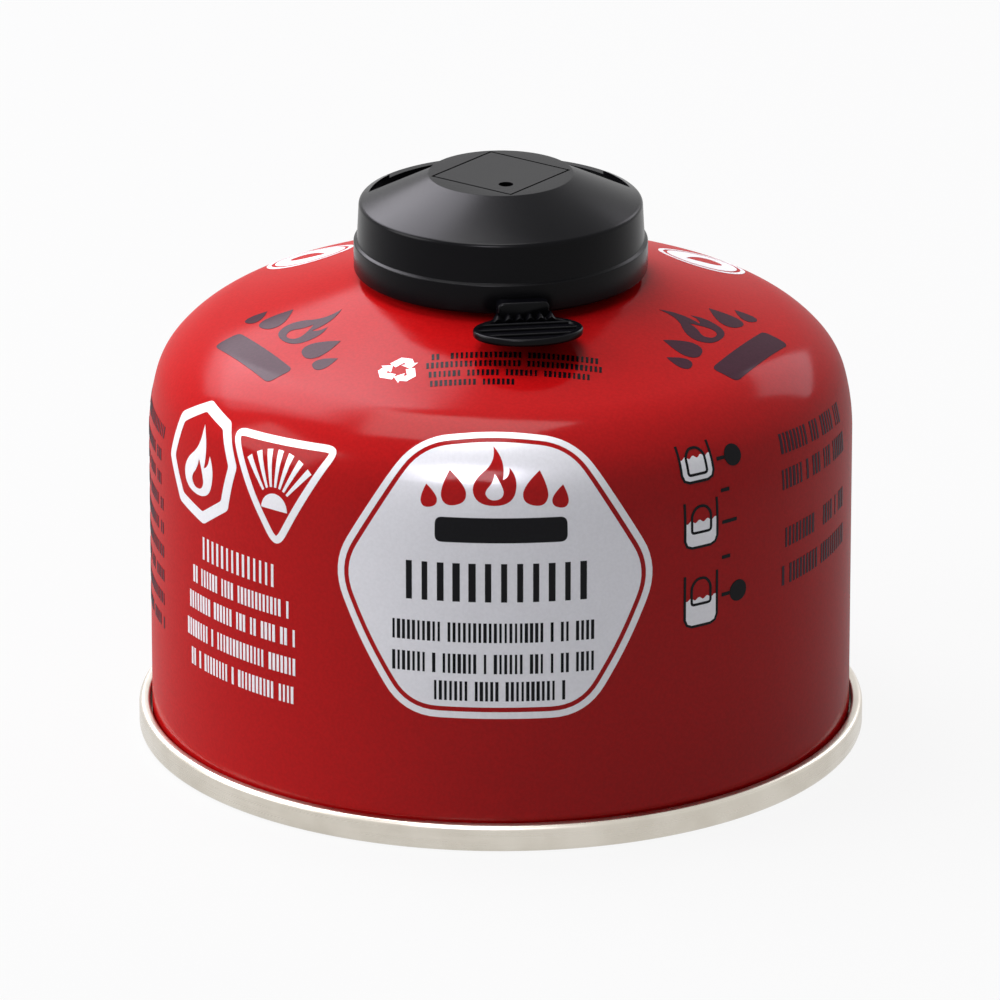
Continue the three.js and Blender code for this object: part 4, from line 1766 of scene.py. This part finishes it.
@dataclass
class Cap:
    """The push-fit cap: rim, skirt, cone, engraved disc, back hollow and pull tab."""

    curl_top: float
    snap_radius: float
    neck_centre: float
    overlap: float = 3.23
    rim_radius: float = 18.05
    rim_height: float = 3.6
    ledge_height: float = 0.2
    skirt_foot: float = 17.65
    skirt_top: float = 17.4
    skirt_height: float = 4.76
    edge_round: float = 0.6
    cone_height: float = 3.53
    disc_radius: float = 8.89
    wall: float = 1.25
    top_wall: float = 1.4
    rim_bore: float = 16.85
    bead_height: float = 0.7
    turn: float = 8.2
    lug_count: int = 8
    hollow_front: float = 2.8
    hollow_turn: float = -5.0
    hollow_rim: float = 1.1
    hollow_drop: float = 2.68
    hollow_floor: float = 1.2
    notch_half: float = 54.0
    square_half: float = 8.62
    square_line: float = 0.28
    square_depth: float = 0.22
    vent_radius: float = 0.9
    vent_offset: float = 4.4
    tab_centre: float = 23.1
    tab_half: Point = (6.7, 4.5)
    tab_thickness: float = 0.95
    tab_border: float = 0.75
    tab_dish: float = 0.3
    rib_pitch: float = 1.95
    rib_width: float = 0.5
    rib_count: int = 3
    tab_lug: tuple[float, float, float] = (6.3, 1.55, 2.35)
    lug_drop: float = 0.37
    tooth_count: int = 6
    tooth_pitch: float = 1.3
    tooth_height: float = 0.85
    tooth_length: float = 1.3
    tooth_gap: float = 0.06
    tooth_sink: float = 0.1
    lug_half: float = 0.55
    lug_height: float = 1.4
    fit: float = 0.3
    plate_facets: int = 96
    clear: float = 1.0
    vent_depth: float = 3.0
    notch_overlap: float = 0.3
    rib_overlap: float = 0.15
    rib_sink: float = 0.1
    tooth_overlap: float = 0.2
    tooth_taper: tuple[Point, ...] = ((0.0, 1.0), (0.75, 1.0), (1.0, 0.55))
    lug_edge: tuple[Point, ...] = ((0.22, 0.0), (0.07, 0.06), (0.0, 0.22))
    lug_foot: float = 0.5

    @property
    def bottom(self) -> float:
        """The height of the rim's lower edge."""
        return self.curl_top - self.overlap

    @property
    def ledge(self) -> float:
        """The height of the ledge above the rim."""
        return self.bottom + self.rim_height

    @property
    def cone_foot(self) -> float:
        """The height at which the cone starts."""
        return self.ledge + self.ledge_height + self.skirt_height

    @property
    def top(self) -> float:
        """The height of the disc."""
        return self.cone_foot + self.cone_height

    def outside(self) -> Loop:
        """The section of the outer face."""
        return filleted(
            [
                (0.0, self.bottom, 0.0),
                (self.rim_radius, self.bottom, 0.35),
                (self.rim_radius, self.ledge, 0.16),
                (self.skirt_foot, self.ledge + self.ledge_height, 0.06),
                (self.skirt_top, self.cone_foot, self.edge_round),
                (self.disc_radius, self.top, 0.25),
                (0.0, self.top, 0.0),
            ],
            6,
        )

    def inside(self) -> Loop:
        """The section of the space inside."""
        pitch = math.atan2(self.cone_height, self.skirt_top - self.disc_radius)
        drop = self.top_wall / math.cos(pitch)
        skirt = self.skirt_top - self.wall
        return filleted(
            [
                (0.0, self.bottom - self.clear, 0.0),
                (self.rim_bore, self.bottom - self.clear, 0.0),
                (self.rim_bore, self.bottom, 0.0),
                (self.snap_radius, self.bottom + self.bead_height / 2, 0.15),
                (self.snap_radius, self.bottom + self.bead_height, 0.15),
                (self.rim_bore, self.bottom + 2 * self.bead_height, 0.1),
                (self.rim_bore, self.ledge - self.ledge_height, 0.1),
                (self.skirt_foot - self.wall, self.ledge + self.ledge_height, 0.1),
                (skirt, self.cone_foot + self.wall * math.tan(pitch) - drop, 0.4),
                (self.disc_radius, self.top - drop, 0.2),
                (self.disc_radius - self.top_wall, self.top - self.top_wall, 0.2),
                (0.0, self.top - self.top_wall, 0.0),
            ]
        )

    def crescent(self, grow: float) -> Loop:
        """The outline of the hollow behind the disc, grown by a wall."""
        outer = self.skirt_top - self.hollow_rim + grow
        inner = self.disc_radius - grow
        front = self.hollow_front - grow
        first = math.degrees(math.asin(front / outer))
        second = math.degrees(math.asin(front / inner))
        far = arc((0.0, 0.0), outer, first, 180 - first, 96)
        near = arc((0.0, 0.0), inner, 180 - second, second, 64)
        return moved(far + near, (0.0, 0.0), 1.0, self.hollow_turn)

    def notch(self) -> Loop:
        """The stretch of the rim behind the hollow that stops at the foot of the cone."""
        far = arc((0.0, 0.0), self.rim_radius, 90 - self.notch_half, 90 + self.notch_half, 72)
        inner = self.skirt_top - self.hollow_rim - self.notch_overlap
        near = arc((0.0, 0.0), inner, 90 + self.notch_half, 90 - self.notch_half, 72)
        return moved(far + near, (0.0, 0.0), 1.0, self.hollow_turn)

    def shell(self, trees: Trees, palette: Palette) -> bpy.types.Object:
        """The turned shell of the cap with its hollow, notch, engraving and vent."""
        black = palette.plastic
        body = trees.turn("cap_shell", self.outside(), black, 192)
        space = trees.turn("cap_space", self.inside(), black, 128)
        floor, above = self.cone_foot - self.hollow_drop, self.top + self.clear
        kept = prism("kept_walls", self.crescent(self.wall), floor - self.hollow_floor, above)
        combined(space, kept, Join.CUT)
        combined(body, space, Join.CUT)
        combined(body, prism("hollow", self.crescent(0.0), floor, above), Join.CUT)
        combined(body, prism("notch", self.notch(), self.cone_foot, above), Join.CUT)
        self.engrave(body)
        vent = circle((0.0, -self.vent_offset), self.vent_radius, 32)
        combined(body, prism("vent", vent, self.top - self.vent_depth, above), Join.CUT)
        smooth(body.data, 32)
        return body

    def engrave(self, body: bpy.types.Object) -> None:
        """Cuts the four fine lines of the square into the disc."""
        half = self.square_half
        inner = half - self.square_line * math.sqrt(2)
        low, above = self.top - self.square_depth, self.top + self.clear
        for quarter in range(4):
            side = [(inner, 0.0), (half, 0.0), (0.0, half), (0.0, inner)]
            line = moved(side, (0.0, 0.0), 1.0, 90 * quarter)
            combined(body, prism("line", line, low, above), Join.CUT)

    def lugs(self, trees: Trees, palette: Palette) -> bpy.types.Object:
        """The lugs inside the skirt that stop the cap on the valve cup."""
        bottom, half = self.curl_top + self.fit, self.lug_half
        inner, outer = self.neck_centre - self.fit, self.skirt_foot - self.wall / 2
        outline = [(inner, -half), (outer, -half), (outer, half), (inner, half)]
        seat = prism("seat", outline, bottom, bottom + self.lug_height)
        seed = seat.data
        bpy.data.objects.remove(seat)
        step = FULL_TURN / self.lug_count
        return trees.ring.grow(
            "seat_lugs", seed, palette.plastic, Count=self.lug_count, First_Turn=step / 2
        )

    def tab_plate(self) -> bpy.types.Object:
        """The oval plate of the tab with a rounded edge, a raised border and a dish."""
        half_width, half_depth = self.tab_half
        low, high = self.bottom - self.tab_thickness, self.bottom
        edge = filleted(
            [
                (1.2, low, 0.0),
                (0.0, low, 0.3),
                (0.0, high, 0.26),
                (self.tab_border, high, 0.12),
                (self.tab_border + 0.1, high - self.tab_dish, 0.1),
                (1.4, high - self.tab_dish, 0.0),
            ],
            5,
        )
        rings = []
        for drawn_in, height in edge:
            ring = []
            for i in range(self.plate_facets):
                angle = FULL_TURN * i / self.plate_facets
                across = (half_width - drawn_in) * math.cos(angle)
                along = (half_depth - drawn_in) * math.sin(angle)
                ring.append((across, along - self.tab_centre, height))
            rings.append(ring)
        mesh = lofted("tab_plate", rings)
        smooth(mesh, ROUND_CREASE)
        return linked("tab_plate", mesh)

    def tab_ribs(self, trees: Trees, palette: Palette) -> bpy.types.Object:
        """The straight grip ribs across the dish, each as long as the oval lets it."""
        half, low = self.rib_width / 2, self.bottom - self.tab_dish - self.rib_sink
        top = self.bottom
        crown = filleted([(-half, low, 0), (-half, top, 0.16), (half, top, 0.16), (half, low, 0)], 4)
        reach = self.tab_half[0] - self.tab_border + self.rib_overlap
        mesh = lofted("rib", [[(side * reach, y, z) for y, z in crown] for side in (-1, 1)])
        start = -(self.rib_count - 1) / 2 * self.rib_pitch
        depth = (self.tab_half[1] - self.tab_border + self.rib_overlap) * MM
        ribs = trees.row.grow(
            "tab_ribs",
            mesh,
            palette.plastic,
            Count=self.rib_count,
            Start=(0.0, start * MM, 0.0),
            Step=(0.0, self.rib_pitch * MM, 0.0),
            Oval_Half_Depth=depth,
        )
        ribs.data.transform(Matrix.Translation((0.0, -self.tab_centre * MM, 0.0)))
        smooth(ribs.data, ROUND_CREASE)
        return ribs

    def tab_teeth(self, trees: Trees, palette: Palette) -> bpy.types.Object:
        """The row of small pointed teeth between the plate and the lug."""
        half, foot = self.tooth_pitch / 2 - self.tooth_gap, -self.tooth_sink
        start = self.rim_radius + self.tab_lug[1] - self.tooth_overlap
        tip = (0.0, self.tooth_height, 0.12)
        outline = filleted([(-half, foot, 0), (-half, 0.0, 0), tip, (half, 0.0, 0), (half, foot, 0)], 3)
        ends = []
        for share, height in self.tooth_taper:
            out = start + self.tooth_length * share
            ends.append([(x, -out, self.bottom + z * height) for x, z in outline])
        mesh = lofted("tooth", ends)
        first = -(self.tooth_count - 1) / 2 * self.tooth_pitch
        teeth = trees.row.grow(
            "tab_teeth",
            mesh,
            palette.plastic,
            Count=self.tooth_count,
            Start=(first * MM, 0.0, 0.0),
            Step=(self.tooth_pitch * MM, 0.0, 0.0),
            Oval_Half_Depth=1.0,
        )
        smooth(teeth.data, 30)
        return teeth

    def tab_block(self) -> bpy.types.Object:
        """The rounded lug in front of the rim that carries the plate."""
        width, depth, height = self.tab_lug
        top = self.bottom + height - self.lug_drop
        low = self.bottom - self.lug_drop
        half = width / 2
        outline = filleted(
            [(half, low, 0.0), (half, top, 0.7), (-half, top, 0.7), (-half, low, 0.0)],
            6,
        )
        rings = []
        back, front = self.rim_radius - self.wall / 2, self.rim_radius + depth
        edge = [(front - setback, drawn_in) for setback, drawn_in in self.lug_edge]
        for y, drawn_in in [(back, 0.0), *edge]:
            ring = []
            for x, z in outline:
                across = x - math.copysign(drawn_in, x) * min(1.0, abs(x))
                height = z - (drawn_in if z > low + self.lug_foot else 0.0)
                ring.append((across, -y, height))
            rings.append(ring)
        mesh = lofted("tab_block", rings)
        smooth(mesh, 45)
        return linked("tab_block", mesh)

    def build(self, trees: Trees, palette: Palette) -> None:
        """Makes every part of the cap, turned to where its tab points."""
        shell = self.shell(trees, palette)
        parts = [
            shell,
            self.lugs(trees, palette),
            self.tab_plate(),
            self.tab_ribs(trees, palette),
            self.tab_teeth(trees, palette),
            self.tab_block(),
        ]
        for part in parts:
            part.data.transform(Matrix.Rotation(math.radians(self.turn), 4, "Z"))
            stands_for = ["cap"] if part is shell else []
            finish_piece(part, Body.CAP, palette.plastic, stands_for)


# Camera, light and floor


COOL = (0.95, 0.92, 1.0)


@dataclass(frozen=True)
class Lamp:
    """A square soft light. Its place and side are in metres and its power in watts."""

    name: str
    place: tuple[float, float, float]
    size: float
    power: float
    colour: tuple[float, float, float] = (1.0, 0.99, 1.0)
    sheen_only: bool = False


@dataclass
class Studio:
    """The photograph's camera, soft light and a pale floor."""

    distance: float = 1285.0
    elevation: float = 19.82
    aim: float = 0.257
    target_height: float = 35.0
    lens: float = 374.6
    sideways: float = -0.00075
    floor_radius: float = 0.9
    white_share: float = 0.9
    surround: float = 0.16
    lamps: tuple[Lamp, ...] = (
        Lamp("left_softbox", (-0.75, -0.1, 0.42), 0.5, 4.7),
        Lamp("top_softbox", (-0.12, 0.06, 0.86), 0.45, 4.9),
        Lamp("back_left_softbox", (-0.474, 0.491, 0.766), 0.6, 5.2, COOL),
        Lamp("back_left_card", (-0.469, 0.67, 0.771), 0.7, 8.5, COOL, sheen_only=True),
        Lamp("front_card", (-0.16, -0.8, 0.63), 0.3, 5.0, COOL, sheen_only=True),
        Lamp("back_right_softbox", (0.6, 0.7, 0.5), 0.4, 1.8, COOL),
    )

    def camera(self) -> None:
        """Sets up the camera in front of the cartridge and above it."""
        data = bpy.data.cameras.new("camera")
        data.sensor_width = 36.0
        data.lens = self.lens
        data.shift_x = self.sideways
        data.clip_start, data.clip_end = 0.05, 20.0
        camera = bpy.data.objects.new("camera", data)
        rise = math.radians(self.elevation)
        camera.location = (
            0.0,
            -self.distance * math.cos(rise) * MM,
            (self.target_height + self.distance * math.sin(rise)) * MM,
        )
        camera.rotation_euler = (math.pi / 2 - rise - math.radians(self.aim), 0.0, 0.0)
        bpy.context.scene.collection.objects.link(camera)
        bpy.context.scene.camera = camera

    def hang(self, lamp: Lamp) -> None:
        """Adds a soft light that faces the cartridge."""
        data = bpy.data.lights.new(lamp.name, "AREA")
        data.size = lamp.size
        data.energy = lamp.power
        data.color = lamp.colour
        light = bpy.data.objects.new(lamp.name, data)
        light.location = lamp.place
        aim = Vector((0.0, 0.0, self.target_height * MM)) - Vector(lamp.place)
        light.rotation_euler = aim.to_track_quat("-Z", "Y").to_euler()
        light.visible_diffuse = not lamp.sheen_only
        bpy.context.scene.collection.objects.link(light)

    def seen(self, tree: bpy.types.NodeTree) -> bpy.types.NodeSocket:
        """A factor that is 1 for what the camera, gloss and glass see directly."""
        path = tree.nodes.new("ShaderNodeLightPath")
        total = path.outputs["Is Camera Ray"]
        for name in ("Is Glossy Ray", "Is Transmission Ray"):
            add = tree.nodes.new("ShaderNodeMath")
            add.operation = "MAXIMUM"
            tree.links.new(total, add.inputs[0])
            tree.links.new(path.outputs[name], add.inputs[1])
            total = add.outputs[0]
        return total

    def world(self) -> None:
        """A dim even surround that shows as white behind the cartridge."""
        world = bpy.data.worlds.new("studio")
        bpy.context.scene.world = world
        world.use_nodes = True
        tree = world.node_tree
        dim = tree.nodes["Background"]
        dim.inputs["Color"].default_value = (0.9, 0.93, 1.0, 1.0)
        dim.inputs["Strength"].default_value = self.surround
        white = tree.nodes.new("ShaderNodeBackground")
        white.inputs["Color"].default_value = (1.0, 1.0, 1.0, 1.0)
        white.inputs["Strength"].default_value = 1.0
        mix = tree.nodes.new("ShaderNodeMixShader")
        tree.links.new(self.seen(tree), mix.inputs[0])
        tree.links.new(dim.outputs[0], mix.inputs[1])
        tree.links.new(white.outputs[0], mix.inputs[2])
        tree.links.new(mix.outputs[0], tree.nodes["World Output"].inputs["Surface"])

    def floor(self) -> None:
        """A round pale floor under the foot."""
        form = bmesh.new()
        bmesh.ops.create_circle(form, cap_ends=True, segments=96, radius=self.floor_radius)
        floor = linked("floor", mesh_of(form, "floor"))
        material = bpy.data.materials.new("pale_floor")
        material.use_nodes = True
        tree = material.node_tree
        matt = tree.nodes["Principled BSDF"]
        matt.inputs["Base Color"].default_value = (0.5, 0.5, 0.5, 1.0)
        matt.inputs["Roughness"].default_value = 0.9
        matt.inputs["Specular IOR Level"].default_value = 0.0
        glow = tree.nodes.new("ShaderNodeEmission")
        glow.inputs["Strength"].default_value = 1.0
        share = tree.nodes.new("ShaderNodeMath")
        share.operation = "MULTIPLY"
        share.inputs[1].default_value = self.white_share
        tree.links.new(self.seen(tree), share.inputs[0])
        mix = tree.nodes.new("ShaderNodeMixShader")
        tree.links.new(share.outputs[0], mix.inputs[0])
        tree.links.new(matt.outputs[0], mix.inputs[1])
        tree.links.new(glow.outputs[0], mix.inputs[2])
        tree.links.new(mix.outputs[0], tree.nodes["Material Output"].inputs["Surface"])
        floor.data.materials.append(material)

    def build(self) -> None:
        """Sets up the whole studio."""
        bpy.context.scene.view_settings.view_transform = "Standard"
        self.camera()
        self.world()
        self.floor()
        for lamp in self.lamps:
            self.hang(lamp)


def clear_startup() -> None:
    """Removes the objects that Blender starts with."""
    kept = {o.name for o in (*frame["nodes"].values(), *frame["bodies"].values())}
    for item in list(bpy.data.objects):
        if item.name not in kept:
            bpy.data.objects.remove(item)


def dress_inner_valve(palette: Palette) -> None:
    """Gives the pieces inside the pedestal their finishes."""
    finishes = {"valve_gasket": palette.rubber, "valve_housing": palette.nylon}
    for name, material in finishes.items():
        node = frame["nodes"][name]
        node.data.materials.clear()
        node.data.materials.append(material)
        log.info("%s keeps its solid in %s", name, material.name)


def corners(box: tuple[Vector, Vector]) -> list[list[float]]:
    """The two corners of a box as plain numbers."""
    return [list(corner) for corner in box]


def main() -> None:
    """Builds the cartridge around its frame."""
    logging.basicConfig(level=logging.INFO, format="%(name)s: %(message)s")
    clear_startup()
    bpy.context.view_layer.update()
    Studio().build()
    trees = Trees()
    palette = Palette()
    shell = Shell()
    shell.build(trees, palette)
    face = ShellFace(shell)
    FrontLabel().build(face, trees, palette)
    LeftPrint().build(face, trees, palette)
    RightPrint().build(face, trees, palette)
    ShoulderPrint().build(face, trees, palette)
    BaseEnd().build(trees, palette)
    cup = ValveCup(shell.neck())
    cup.build(trees, palette)
    dress_inner_valve(palette)
    curl = cup.inner_curl + cup.sheet
    cap = Cap(
        curl_top=shell.neck()[1] + curl,
        snap_radius=shell.neck_centre + curl + SNAP_ROOM,
        neck_centre=shell.neck_centre,
    )
    cap.build(trees, palette)


if __name__ == "__main__":
    main()
